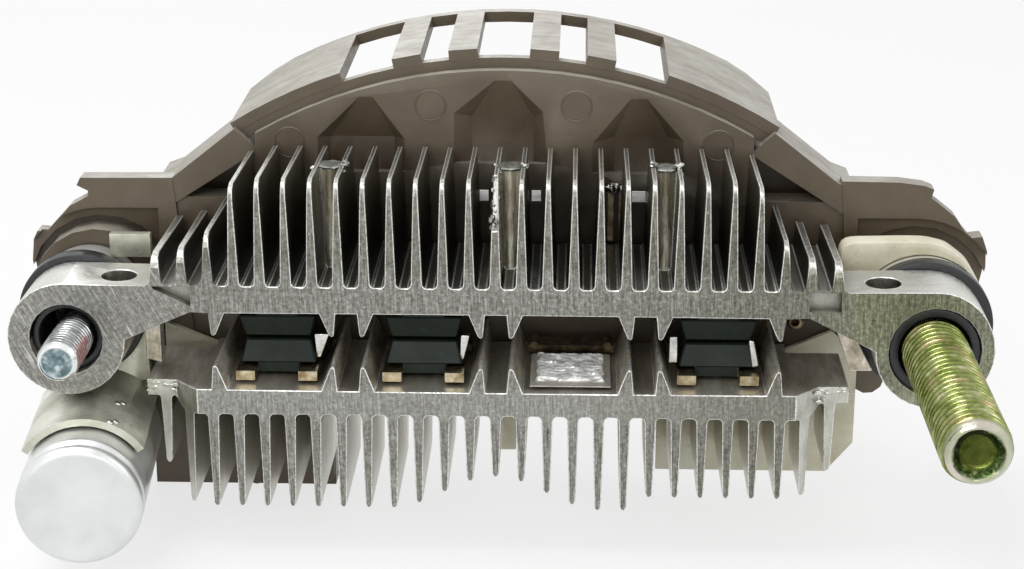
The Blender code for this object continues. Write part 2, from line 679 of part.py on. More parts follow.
def build_rings(black_moulding, bright_metal):
    """Washers and distance rings behind the ears, stacked towards the housing."""
    front = EAR_THICKNESS + GAP
    back = front + LEFT_WASHER_THICKNESS
    hole = FIXING_STUD_DIAMETER / 2 + FIXING_STUD_OFFSET + SPACER_BORE_CLEARANCE
    profile = ring_profile(LEFT_WASHER_DIAMETER / 2, hole, front, back)
    turned("left_washer", profile, LEFT_STUD, black_moulding, ring=True)
    spacer_front = back + GAP + LUG_THICKNESS + GAP
    profile = ring_profile(LEFT_SPACER_DIAMETER / 2, hole, spacer_front, spacer_front + LEFT_SPACER_LENGTH)
    turned("left_spacer", profile, LEFT_STUD, bright_metal, ring=True)
    back = front + RIGHT_WASHER_THICKNESS
    hole = OUTPUT_STUD_DIAMETER / 2 + SPACER_BORE_CLEARANCE
    outer = RIGHT_WASHER_DIAMETER / 2
    step = RIGHT_WASHER_STEP
    profile = [(outer, back), (outer, front + step), (outer - step / 2, front), (hole, front), (hole, back)]
    turned("right_washer", profile, RIGHT_STUD, black_moulding, ring=True)
    spacer_back = back + GAP + RIGHT_SPACER_LENGTH
    profile = ring_profile(SPACER_DIAMETER / 2, hole, back + GAP, spacer_back)
    turned("right_spacer", profile, RIGHT_STUD, bright_metal, ring=True)
    return spacer_back + GAP


def build_right_collar(seat, cream):
    """Cream insulator round the right stud: a flange with a ring recess, and a boss to the housing."""
    x, z = RIGHT_STUD.x, RIGHT_STUD.z
    front = seat - COLLAR_RING_DEPTH
    back = HOUSING_FRONT + RECESS_DEPTH - GAP
    hole = circle(x, z, OUTPUT_STUD_DIAMETER / 2 + SPACER_BORE_CLEARANCE, 20)
    edge = [(x + across, z + up) for across, up in COLLAR_EDGE]
    collar = prism("right_collar", [edge, hole], front, COLLAR_FLANGE, "Y", cream)
    start = front + COLLAR_FLANGE - COLLAR_BOSS_OVERLAP
    boss = prism_tool("collar_boss", [circle(x, z, COLLAR_BOSS_RADIUS, 20), hole], start, back - start, "Y")
    join(collar, boss)
    recess = circle(x, z, SPACER_DIAMETER / 2 + GAP * 2)
    cut(collar, prism_tool("collar_ring", [recess], front - CUT_PAST, COLLAR_RING_DEPTH + CUT_PAST, "Y"))


def mirrored_height(mesh, middle):
    """Turn a mesh over in z about a middle height."""
    mesh.transform(Matrix.Translation((0, 0, middle)) @ Matrix.Scale(-1, 4, (0, 0, 1))
                   @ Matrix.Translation((0, 0, -middle)))
    mesh.flip_normals()


def diode_base_mesh(name, x, reach):
    """Plated base: a plate under the body with a leg at each front corner."""
    left = x - BASE_WIDTH / 2
    right = x + BASE_WIDTH / 2
    front = DIODE_FRONT - reach
    shelf = DIODE_FRONT + BASE_SHELF
    back = DIODE_FRONT + DIODE_LENGTH
    outline = [(left, front), (left + LEG_WIDTH, front), (left + LEG_WIDTH, shelf)]
    outline += [(right - LEG_WIDTH, shelf), (right - LEG_WIDTH, front), (right, front), (right, back)]
    outline += [(left, back)]
    return prism_mesh(name, [outline], LOWER_PLATE_TOP + GAP, BASE_HEIGHT, "Z")


def diode_body_mesh(name, x):
    """Moulded body: draft on all four sides, and a neck that reaches down between the legs."""
    bottom = LOWER_PLATE_TOP + GAP + BASE_HEIGHT + GAP
    middle = (UPPER_PLATE_BOTTOM + LOWER_PLATE_TOP) / 2
    top = middle - DIODE_GROOVE / 2
    half = DIODE_WIDTH / 2
    y_middle = DIODE_FRONT + DIODE_LENGTH / 2
    form = bmesh.new()
    bmesh.ops.create_cube(form, size=2.0)
    for vert in form.verts:
        draft = DIODE_DRAFT if vert.co.z > 0 else 0.0
        vert.co.x = x + math.copysign(half - draft, vert.co.x)
        vert.co.y = y_middle + math.copysign(DIODE_LENGTH / 2 - draft, vert.co.y)
        vert.co.z = top if vert.co.z > 0 else bottom
    bmesh.ops.bevel(form, geom=list(form.edges), offset=DIODE_EDGE, segments=1, affect="EDGES")
    mesh = bpy.data.meshes.new(name)
    form.to_mesh(mesh)
    form.free()
    return mesh


def build_diodes(black_moulding, plated):
    """A standing and a hanging diode in each filled cell, mirrored about the cell's middle height."""
    middle = (UPPER_PLATE_BOTTOM + LOWER_PLATE_TOP) / 2
    for number in DIODE_CELLS:
        x = cell_x(number)
        for level in ("lower", "upper"):
            name = "%s_diode_%d" % (level, number)
            base = diode_base_mesh(name + "_base", x, LEG_REACH[level])
            body = diode_body_mesh(name + "_body", x)
            neck_bottom = LOWER_PLATE_TOP + GAP * 2
            neck_top = neck_bottom + BASE_HEIGHT + NECK_DEPTH
            outline = rectangle(x - NECK_WIDTH / 2, neck_bottom, x + NECK_WIDTH / 2, neck_top)
            neck = prism_mesh(name + "_neck", [outline], DIODE_FRONT + DIODE_EDGE, NECK_DEPTH, "Y")
            if level == "upper":
                for mesh in (base, body, neck):
                    mirrored_height(mesh, middle)
            add_part(name + "_base", base, plated)
            moulded = add_part(name + "_body", body, black_moulding)
            join(moulded, add_tool(name + "_neck", neck))


def build_conductors(brass, solder):
    """Conductor bars at the back of the cells, and the tinned seat of the empty cell."""
    floor = LOWER_PLATE_TOP + GAP
    for number in range(1, CELL_COUNT + 1):
        x = cell_x(number)
        half = CONDUCTOR_WIDTH / 2
        outline = rectangle(x - half, floor, x + half, floor + CONDUCTOR_HEIGHT)
        bar = prism("phase_conductor_%d" % number, [outline], CONDUCTOR_FRONT, CONDUCTOR_DEPTH, "Y", brass)
        for side, label in ((-1, "left"), (1, "right")):
            pin = circle(x + side * PIN_SPACING / 2, floor + CONDUCTOR_HEIGHT, PIN_DIAMETER / 2, 10)
            name = "%s_pin_%d" % (label, number)
            join(bar, prism_tool(name, [pin], CONDUCTOR_FRONT - PIN_REACH, CONDUCTOR_DEPTH, "Y"))
    x = cell_x(EMPTY_CELL)
    half = PAD_WIDTH / 2
    corner = PAD_CORNER
    outline = [(x - half, PAD_FRONT), (x + half, PAD_FRONT)]
    outline += arc(x + half - corner, PAD_FRONT + PAD_LENGTH - corner, corner, 0.0, math.pi / 2, 5)
    outline += arc(x - half + corner, PAD_FRONT + PAD_LENGTH - corner, corner, math.pi / 2, math.pi, 5)
    prism("solder_pad", [outline], floor, PAD_HEIGHT, "Z", solder)


def can_profile():
    """Profile of the capacitor can: rounded front edge and a rolled groove behind it."""
    radius = CAN_DIAMETER / 2
    back = CAN_LENGTH
    deep = radius - CAN_GROOVE_DEPTH
    start = CAN_GROOVE_START
    end = start + CAN_GROOVE_WIDTH
    inner = radius - CAN_RIM
    floor = back - SEAL_THICKNESS - SEAL_SPACE
    profile = [(0.0, floor), (inner, floor), (inner, back)]
    profile += [(radius, back), (radius, end), (deep, end - CAN_GROOVE_DEPTH), (radius, start)]
    rounded = arc(radius - CAN_EDGE, CAN_EDGE, CAN_EDGE, 0.0, -math.pi / 2, 3)
    return profile + rounded + [(0.0, 0.0)]


def build_capacitor(bright_metal, seal_material, steel):
    """Can, its rear seal, and the bracket: a round lug behind the ear and a saddle welded to the can."""
    turn = Matrix.Rotation(CAN_YAW, 4, "Z")
    frame = Matrix.Translation(CAN_FRONT) @ turn @ Matrix.Rotation(-math.pi / 2, 4, "X")
    can = turned("capacitor_can", can_profile(), LEFT_STUD, bright_metal, steps=36)
    can.matrix_world = frame
    seal_front = CAN_LENGTH - SEAL_THICKNESS - SEAL_SPACE + GAP
    profile = disc_profile(CAN_DIAMETER / 2 - CAN_RIM - GAP, seal_front, CAN_LENGTH - SEAL_SETBACK)
    seal = turned("capacitor_seal", profile, LEFT_STUD, seal_material)
    seal.matrix_world = frame

    inner = CAN_DIAMETER / 2 + GAP
    outer = inner + SADDLE_THICKNESS
    up = math.pi / 2
    outline = arc(0.0, 0.0, outer, up - SADDLE_HALF_ANGLE, up + SADDLE_HALF_ANGLE, 16)
    outline += arc(0.0, 0.0, inner, up + SADDLE_HALF_ANGLE, up - SADDLE_HALF_ANGLE, 16)
    lug_front = EAR_THICKNESS + GAP + LEFT_WASHER_THICKNESS + GAP
    saddle_back = lug_front + LUG_THICKNESS - CAN_FRONT.y
    mesh = prism_mesh("capacitor_saddle", [outline], SADDLE_FRONT, saddle_back - SADDLE_FRONT, "Y")
    mesh.transform(Matrix.Translation(CAN_FRONT) @ turn)

    x, z = LEFT_STUD.x, LEFT_STUD.z
    drop = CAN_FRONT.z + math.sqrt(outer ** 2 - (LUG_WIDTH / 2) ** 2) - LUG_OVERLAP
    outline = [(LUG_LEFT_X, drop), (LUG_RIGHT_X - LUG_CORNER_RUN, drop), (LUG_RIGHT_X, LUG_CORNER_Z)]
    outline += arc(x, z, LUG_DIAMETER / 2, math.radians(-8), math.radians(188), 22)
    hole = circle(x, z, FIXING_STUD_DIAMETER / 2 + FIXING_STUD_OFFSET + SPACER_BORE_CLEARANCE)
    lug = prism("capacitor_bracket", [outline, hole], lug_front, LUG_THICKNESS, "Y", steel)
    join(lug, add_tool("capacitor_saddle", mesh))
    profile = disc_profile(inner - GAP / 10, -CUT_PAST, CAN_LENGTH + CUT_PAST)
    space = turned("can_space", profile, LEFT_STUD, None, steps=36, tool=True)
    space.matrix_world = frame
    cut(lug, space)


def polar(angle, radius):
    """A point of the arch, by its angle from the top."""
    return (radius * math.sin(angle), ARCH_CENTRE_Z + radius * math.cos(angle))


def arch_stations():
    """Angles that cut the arch into stretches, and whether each stretch has a window."""
    stretches = [(0.0, CENTRE_WINDOW, 1, True), (CENTRE_WINDOW, SMALL_WINDOW[0], 1, False)]
    stretches += [(*SMALL_WINDOW, 1, True), (SMALL_WINDOW[1], LARGE_WINDOW[0], 1, False)]
    stretches += [(*LARGE_WINDOW, 2, True), (LARGE_WINDOW[1], ARCH_HALF_ANGLE, 5, False)]
    half, open_half = [0.0], []
    for first, last, steps, is_window in stretches:
        half += [first + (last - first) * step / steps for step in range(1, steps + 1)]
        open_half += [is_window] * steps
    angles = [-angle for angle in reversed(half[1:])] + half
    return angles, list(reversed(open_half)) + open_half


def arch_shell(name):
    """Curved pad from a grid with the windows taken out, thickened inwards."""
    angles, has_window = arch_stations()
    last = len(has_window)
    back = HOUSING_FRONT + ARCH_SETBACK + ARCH_DEPTH
    depths = (HOUSING_FRONT + ARCH_SETBACK, back - BACK_RIM_DEPTH, back)
    form = bmesh.new()
    bmesh.ops.create_grid(form, x_segments=last, y_segments=2, size=1.0)
    windows = []
    for face in form.faces:
        middle = face.calc_center_median()
        if middle.y < 0 and has_window[int((middle.x + 1) / 2 * last)]:
            windows.append(face)
    for vert in form.verts:
        station = round((vert.co.x + 1) / 2 * last)
        row = round(vert.co.y + 1)
        from_end = min(station, last - station)
        shorten = ARCH_REAR_CORNER[from_end] if row and from_end < len(ARCH_REAR_CORNER) else 0.0
        x, z = polar(angles[station], ARCH_RADIUS)
        vert.co = (x, depths[row] - shorten, z)
    bmesh.ops.delete(form, geom=windows, context="FACES")
    mesh = bpy.data.meshes.new(name)
    form.to_mesh(mesh)
    form.free()
    shell = add_tool(name, mesh)
    wall = shell.modifiers.new("Wall", "SOLIDIFY")
    wall.thickness = ARCH_WALL
    wall.offset = -1.0
    wall.use_even_offset = True
    return shell


def mirrored(points, side):
    """An outline given for the right side, or its mirror image for the left."""
    return [(side * x, z) for x, z in points]


def pocket_tool(name, edge, floor):
    """Cutter for a pocket in the web: straight through the front face, then drafted in to its floor."""
    form = bmesh.new()
    front = HOUSING_FRONT
    for outline, y in ((edge, front - CUT_PAST), (edge, front), (floor, front + WEB_RECESS_DEPTH)):
        for x, z in outline:
            form.verts.new((x, y, z))
    made = bmesh.ops.convex_hull(form, input=list(form.verts))
    inside = [part for part in made["geom_interior"] if isinstance(part, bmesh.types.BMVert)]
    bmesh.ops.delete(form, geom=inside, context="VERTS")
    bmesh.ops.recalc_face_normals(form, faces=form.faces)
    mesh = bpy.data.meshes.new(name)
    form.to_mesh(mesh)
    form.free()
    return add_tool(name, mesh)


def build_housing(brown):
    """Brown moulding: arch with windows, web with recesses, beams, side blocks and apron."""
    reach = math.asin(WEB_HALF_WIDTH / WEB_TOP_RADIUS)
    outline = [polar(reach * (2 * i / WEB_STEPS - 1), WEB_TOP_RADIUS) for i in range(WEB_STEPS + 1)]
    outline += [(WEB_HALF_WIDTH, WEB_BOTTOM), (-WEB_HALF_WIDTH, WEB_BOTTOM)]
    housing = prism("housing", [outline], HOUSING_FRONT, WEB_THICKNESS, "Y", brown)

    top = WEB_BOTTOM + STEP * 4
    wall = rectangle(-MIDDLE_WALL_HALF_WIDTH, MIDDLE_WALL_BOTTOM, MIDDLE_WALL_HALF_WIDTH, top)
    join(housing, prism_tool("middle_wall", [wall], MIDDLE_WALL_FRONT, MIDDLE_WALL_THICKNESS, "Y"))

    for side, label, stud in ((-1, "left", LEFT_STUD), (1, "right", RIGHT_STUD)):
        front = HOUSING_FRONT + STEP * 2
        join(housing, prism_tool(label + "_beam", [mirrored(BEAM_EDGE, side)], front, BEAM_DEPTH, "Y"))
        front = HOUSING_FRONT + STEP
        join(housing, prism_tool(label + "_block", [BLOCK_EDGES[label]], front, BLOCK_PLATE_DEPTH, "Y"))
        outline = circle(stud.x, stud.z, BLOCK_BOSS_RADIUS, HOUSING_ROUND_STEPS)
        start = front + BLOCK_PLATE_DEPTH - STEP * 3
        boss = prism_tool(label + "_boss", [outline], start, HOUSING_FRONT + BLOCK_DEPTH - start, "Y")
        join(housing, boss)
        join(housing, prism_tool(label + "_deep_wall", [mirrored(DEEP_WALL_EDGE, side)], DEEP_WALL_FRONT,
                                 DEEP_WALL_THICKNESS, "Y"))

    apron = rectangle(APRON_LEFT_X, APRON_BOTTOM, APRON_RIGHT_X, MIDDLE_WALL_BOTTOM + CUT_WIDE)
    join(housing, prism_tool("apron", [apron], HOUSING_FRONT + STEP * 3, APRON_THICKNESS, "Y"))

    for number, (edge, floor) in enumerate(WEB_RECESSES, 1):
        cut(housing, pocket_tool("recess_%d" % number, edge, rectangle(*floor)))

    for number, (left, right) in enumerate(LEAD_SLOTS, 1):
        outline = rectangle(left, LEAD_SLOT_BOTTOM, right, LEAD_SLOT_BOTTOM + LEAD_SLOT_HEIGHT)
        depth = MIDDLE_WALL_THICKNESS + CUT_PAST * 2 + HOUSING_CLEARANCE
        cut(housing, prism_tool("lead_slot_%d" % number, [outline], HOUSING_FRONT - CUT_PAST, depth, "Y"))

    for axis, diameter, label in ((LEFT_STUD_AXIS, FIXING_STUD_DIAMETER, "left"),
                                  (RIGHT_STUD, OUTPUT_STUD_DIAMETER, "right")):
        x, z = axis.x, axis.z
        out = CUT_PAST
        outline = circle(x, z, RECESS_RADIUS, HOUSING_ROUND_STEPS)
        cut(housing, prism_tool(label + "_recess", [outline], HOUSING_FRONT - out, RECESS_DEPTH + out, "Y"))
        side = -1 if x < 0 else 1
        first = math.radians(90)
        outline = arc(x, z, OUTER_RECESS_RADIUS, first, first - side * math.radians(80), 9)
        run, rise = OUTER_RECESS_CORNER
        outline += [(x, z + RECESS_RADIUS - out), (x - side * run, z + rise)]
        outline += [(x - side * run, z + OUTER_RECESS_RADIUS)]
        depth = OUTER_RECESS_DEPTH + out
        cut(housing, prism_tool(label + "_outer_recess", [outline], HOUSING_FRONT - out, depth, "Y"))
        hole_front = HOUSING_FRONT - out
        if x < 0:
            front = EAR_THICKNESS + LEFT_WASHER_THICKNESS + LUG_THICKNESS + LEFT_SPACER_LENGTH + GAP * 4
            depth = HOUSING_FRONT + RECESS_DEPTH + STEP * 2 - front
            outline = circle(x, z, LEFT_BOSS_RADIUS, HOUSING_ROUND_STEPS)
            join(housing, prism_tool("left_boss_front", [outline], front, depth, "Y"))
            hole_front = front - out
        outline = circle(x, z, diameter / 2 + GAP, HOUSING_ROUND_STEPS)
        depth = HOUSING_FRONT + BLOCK_DEPTH + out - hole_front
        cut(housing, prism_tool(label + "_stud_hole", [outline], hole_front, depth, "Y"))

    angles = arch_stations()[0]
    outline = [polar(angle, ARCH_RADIUS - ARCH_SILL_DROP) for angle in angles]
    outline += [polar(angle, ARCH_RADIUS - ARCH_RIM_WALL) for angle in reversed(angles)]
    front = HOUSING_FRONT + ARCH_SETBACK + STEP
    join(housing, prism_tool("arch_rim", [outline], front, ARCH_RIM_DEPTH, "Y"))
    join(housing, arch_shell("arch_shell"))
    return housing


def build_insulators(cream):
    """Cream sheets behind the heat sinks."""
    front = SINK_DEPTH + GAP
    depth = SHEET_THICKNESS
    right, bottom = REAR_SHEET_RIGHT_X, REAR_SHEET_BOTTOM
    run, rise = REAR_SHEET_CHAMFER
    outline = [(REAR_SHEET_LEFT_X, bottom), (right - run, bottom), (right, bottom + rise)]
    outline += REAR_SHEET_PEAK + [(REAR_SHEET_LEFT_X, LOWER_PLATE_TOP - SHEET_DROP)]
    prism("rear_insulator", [outline], front, depth, "Y", cream)
    prism("left_insulator", [LEFT_SHEET_EDGE], front, depth, "Y", cream)


def build_small_parts(plated, steel):
    """Left terminal sheet, hooked clip and rivet."""
    prism("left_terminal", [rectangle(*TERMINAL_EDGE)], TERMINAL_FRONT, TERMINAL_THICKNESS, "Y", plated)

    left, right, bottom, top = CLIP_LEFT_X, CLIP_RIGHT_X, CLIP_BOTTOM, CLIP_TOP
    middle = (left + right) / 2
    radius = (right - left) / 2
    outline = [(left, bottom)] + arc(middle, top - radius, radius, math.pi, 0.0, 10) + [(right, bottom)]
    outline += [(right - CLIP_WIRE, bottom)]
    outline += arc(middle, top - radius, radius - CLIP_WIRE, 0.0, math.pi, 8)
    outline += [(left + CLIP_WIRE, bottom)]
    prism("hook_terminal", [outline], SINK_DEPTH + GAP, CLIP_THICKNESS, "Y", plated)

    head = RIVET_HEAD_DIAMETER / 2
    back = MIDDLE_WALL_FRONT - GAP
    front = back - RIVET_LENGTH
    eye = head * RIVET_EYE_SHARE
    profile = [(0.0, back), (head, back), (head, front + RIVET_EDGE), (head - RIVET_EDGE, front)]
    profile += [(eye, front), (eye, front + RIVET_EYE_DEPTH), (0.0, front + RIVET_EYE_DEPTH)]
    turned("rivet", profile, RIVET_CENTRE, steel, steps=20)


def build():
    """Build every piece."""
    aluminium = material("cast_aluminium", (0.62, 0.61, 0.57), 0.42, 1.0)
    zinc_yellow = material("yellow_zinc", (0.55, 0.52, 0.25), 0.3, 1.0)
    zinc_white = material("bright_zinc", (0.72, 0.74, 0.76), 0.25, 1.0)
    black_moulding = material("black_moulding", (0.035, 0.042, 0.04), 0.45, 0.0)
    rubber = material("black_insulator", (0.03, 0.03, 0.033), 0.5, 0.0)
    bright_metal = material("bright_metal", (0.78, 0.79, 0.79), 0.3, 1.0)
    steel = material("plated_steel", (0.66, 0.65, 0.6), 0.3, 1.0)
    plated = material("tinned_brass", (0.7, 0.65, 0.5), 0.35, 1.0)
    brass = material("stained_brass", (0.35, 0.3, 0.2), 0.5, 1.0)
    solder = material("solder", (0.8, 0.82, 0.82), 0.2, 1.0)
    cream = material("cream_moulding", (0.72, 0.69, 0.58), 0.5, 0.0)
    brown = material("brown_moulding", (0.2, 0.17, 0.14), 0.5, 0.0)
    seal_material = material("seal", (0.05, 0.05, 0.05), 0.7, 0.0)

    build_upper_sink(aluminium)
    build_lower_sink(aluminium)
    build_studs(zinc_yellow, zinc_white, rubber)
    collar_front = build_rings(rubber, bright_metal)
    build_right_collar(collar_front, cream)
    build_diodes(black_moulding, plated)
    build_conductors(brass, solder)
    build_capacitor(bright_metal, seal_material, steel)
    build_housing(brown)
    build_insulators(cream)
    build_small_parts(plated, steel)


clear_scene()
PARTS = collection("alternator_rectifier")
TOOLS = collection("tools")
build()
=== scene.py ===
"""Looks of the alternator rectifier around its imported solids: threads, rings, casting flash, solder and
wear, procedural materials, camera, floor and soft light.

Metres, +X right, +Y away from the camera, +Z up. The origin is midway between the ear bores, in the
sanded front face of the heat sinks.
"""

import json
import math
import random

import bmesh
import bpy
from mathutils import Matrix, Vector, noise

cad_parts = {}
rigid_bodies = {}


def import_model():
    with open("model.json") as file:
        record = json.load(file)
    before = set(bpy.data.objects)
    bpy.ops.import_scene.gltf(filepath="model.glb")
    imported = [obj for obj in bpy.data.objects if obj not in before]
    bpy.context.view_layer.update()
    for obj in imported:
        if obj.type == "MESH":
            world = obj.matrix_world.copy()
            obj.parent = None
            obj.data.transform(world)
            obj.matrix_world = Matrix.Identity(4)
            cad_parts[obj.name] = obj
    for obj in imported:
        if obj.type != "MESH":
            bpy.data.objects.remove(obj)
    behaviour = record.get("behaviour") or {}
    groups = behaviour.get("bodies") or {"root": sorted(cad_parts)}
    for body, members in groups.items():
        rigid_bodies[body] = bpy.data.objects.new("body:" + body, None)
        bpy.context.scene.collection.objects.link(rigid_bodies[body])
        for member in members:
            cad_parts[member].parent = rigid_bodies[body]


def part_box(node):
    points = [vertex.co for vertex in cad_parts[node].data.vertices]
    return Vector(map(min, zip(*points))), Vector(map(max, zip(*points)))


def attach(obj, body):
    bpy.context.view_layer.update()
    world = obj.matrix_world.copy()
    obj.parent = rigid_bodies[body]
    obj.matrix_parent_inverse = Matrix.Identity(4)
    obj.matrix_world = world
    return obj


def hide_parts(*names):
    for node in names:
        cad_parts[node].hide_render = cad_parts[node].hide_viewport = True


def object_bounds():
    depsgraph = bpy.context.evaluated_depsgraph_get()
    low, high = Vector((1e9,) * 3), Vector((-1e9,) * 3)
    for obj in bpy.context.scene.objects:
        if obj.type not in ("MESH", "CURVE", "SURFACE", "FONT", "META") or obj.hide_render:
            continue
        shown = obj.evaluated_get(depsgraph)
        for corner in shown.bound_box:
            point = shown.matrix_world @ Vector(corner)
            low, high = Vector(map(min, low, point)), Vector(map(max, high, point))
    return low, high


SEED = 7
FRONT_Y = 0.0

# Camera fitted to the photograph
CAMERA_LENS = 77.41
CAMERA_SENSOR = 36.0
CAMERA_AZIMUTH = math.radians(1.8)
CAMERA_ELEVATION = math.radians(18.99)
CAMERA_PLACE = Vector((0.0094, -0.2466, 0.0925))

# Studs
OUTPUT_THREAD = {"pitch": 0.00125, "depth": 0.00055, "chamfer": 0.0011}
FIXING_THREAD = {"pitch": 0.0008, "depth": 0.00032, "chamfer": 0.0006}
OUTPUT_TIP = Vector((0.05208, -0.0305, -0.0005))
FIXING_TIP = Vector((-0.05138, -0.0080, 0.0))
STUD_RADIUS = {"output_stud": 0.0040, "fixing_stud": 0.0025}
STUD_SEAT = 0.0253
CREST_SHAPE = (0.0, 0.0, 0.35, 0.80, 1.0, 1.0, 0.80, 0.35)
THREAD_STEPS = len(CREST_SHAPE)
THREAD_COLUMNS = 72
THREAD_WOBBLE = 0.00002
CHAMFER_SHARE = 0.75
END_RINGS = 13
DENT_DEPTH = 0.0011
HOLLOW_DEPTH = 0.00012

# Steps round a full turn, and along a rounded corner
RING_STEPS = 96
DISC_STEPS = 72
MARK_STEPS = 64
CAN_STEPS = 128
COLLAR_STEPS = 144
CORNER_STEPS = 3

# Places shared with the solids
SINK_MIDDLE_X = -0.00035
FIN_PITCH = 0.00312
FINS_PER_SIDE = 13
TALL_FINS_PER_SIDE = 9
FIN_HALF_WIDTH = 0.0009
FIN_ROOT = 0.0090
FIN_TOP = 0.0201
BOSS_TOPS = [Vector((x, 0.0090, 0.0195)) for x in (-0.02063, 0.00121, 0.01993)]
BOSS_REACH = 0.00158
BOSS_FOOT = 0.0073
LOWER_END_X = 0.0428
LOWER_END_SETBACK = 0.0031
WEB_FRONT = 0.0190
CAN_FRONT = Vector((-0.0490, -0.0120, -0.0166))
CAN_YAW = math.radians(5.0)
CAN_RADIUS = 0.0075
CAN_CORNER = 0.0009
SOLDER_FLOOR = -0.0059

# Sizes of what is added here
FIN_THINNING = 0.38
SHORT_FIN_HASTE = 3.0
CASTING_EDGE = 0.00011
MOULDING_EDGE = 0.00022
SHEET_EDGE = 0.00012
RING_EDGE = 0.0003
FLASH_LIFT = 0.00022
FLASH_RADIUS = 0.00175
FLASH_THICKNESS = 0.00030
END_LUMPS = 15
LEAD_DEPTH = 0.0009
POST_DEPTH = 0.0030
SOLDER_STEPS = (130, 144)

# Where the castings' looks change, as the two ends of a fade
SANDED_Y = (FRONT_Y + 0.0004, FRONT_Y + 0.0002)
FIN_TOPS_Z = (0.0082, 0.0086)
KNEE_Z = (0.0085, 0.0090)
KNEE_Y = (0.0009, 0.0007)
LESS_SHADED_FINS_Z = (0.0095, 0.0175)
LOWER_FINS_Z = (-0.0108, -0.0098)
LOWER_BAR_Z = (-0.0102, -0.0058)
CELL_FLOOR_Z = (-0.0063, -0.0002)
FIN_FRONTS_Z = (0.0086, 0.0100)
LEFT_EAR_X = (-0.0385, -0.0365)
RIGHT_HALF_X = (0.008, 0.030)
RIGHT_EAR_X = (0.0345, 0.0430)

# Cast pockets where the ears meet the bar
POCKET_X = (0.0335, 0.0435)
POCKET_Z = (0.0025, 0.0084)
POCKET_BACK = 0.0100

# Meshes and bevels
MM_PER_METRE = 1000
SAME_PLACE = 1e-7
MERGE = 2e-6
FLAT_DEGREES = 0.8
EDGE_DEGREES = 28.0

# The range that a noise mostly stays in
NOISE_LOW = 0.3
NOISE_HIGH = 0.7

# Room
LAMP_TARGET = Vector((0.0, 0.01, 0.0))
WORLD_ON_SURFACES = 0.55
WORLD_SEEN = 1.0
FLOOR_HALF_SIZE = 4.0
FLOOR_GREY = 0.82
FLOOR_GLOW = 0.72
FLOOR_GAP = 0.0001


def clear_scene():
    """Empties the default file, so that only what this script makes is there."""
    for block in list(bpy.data.objects):
        bpy.data.objects.remove(block)


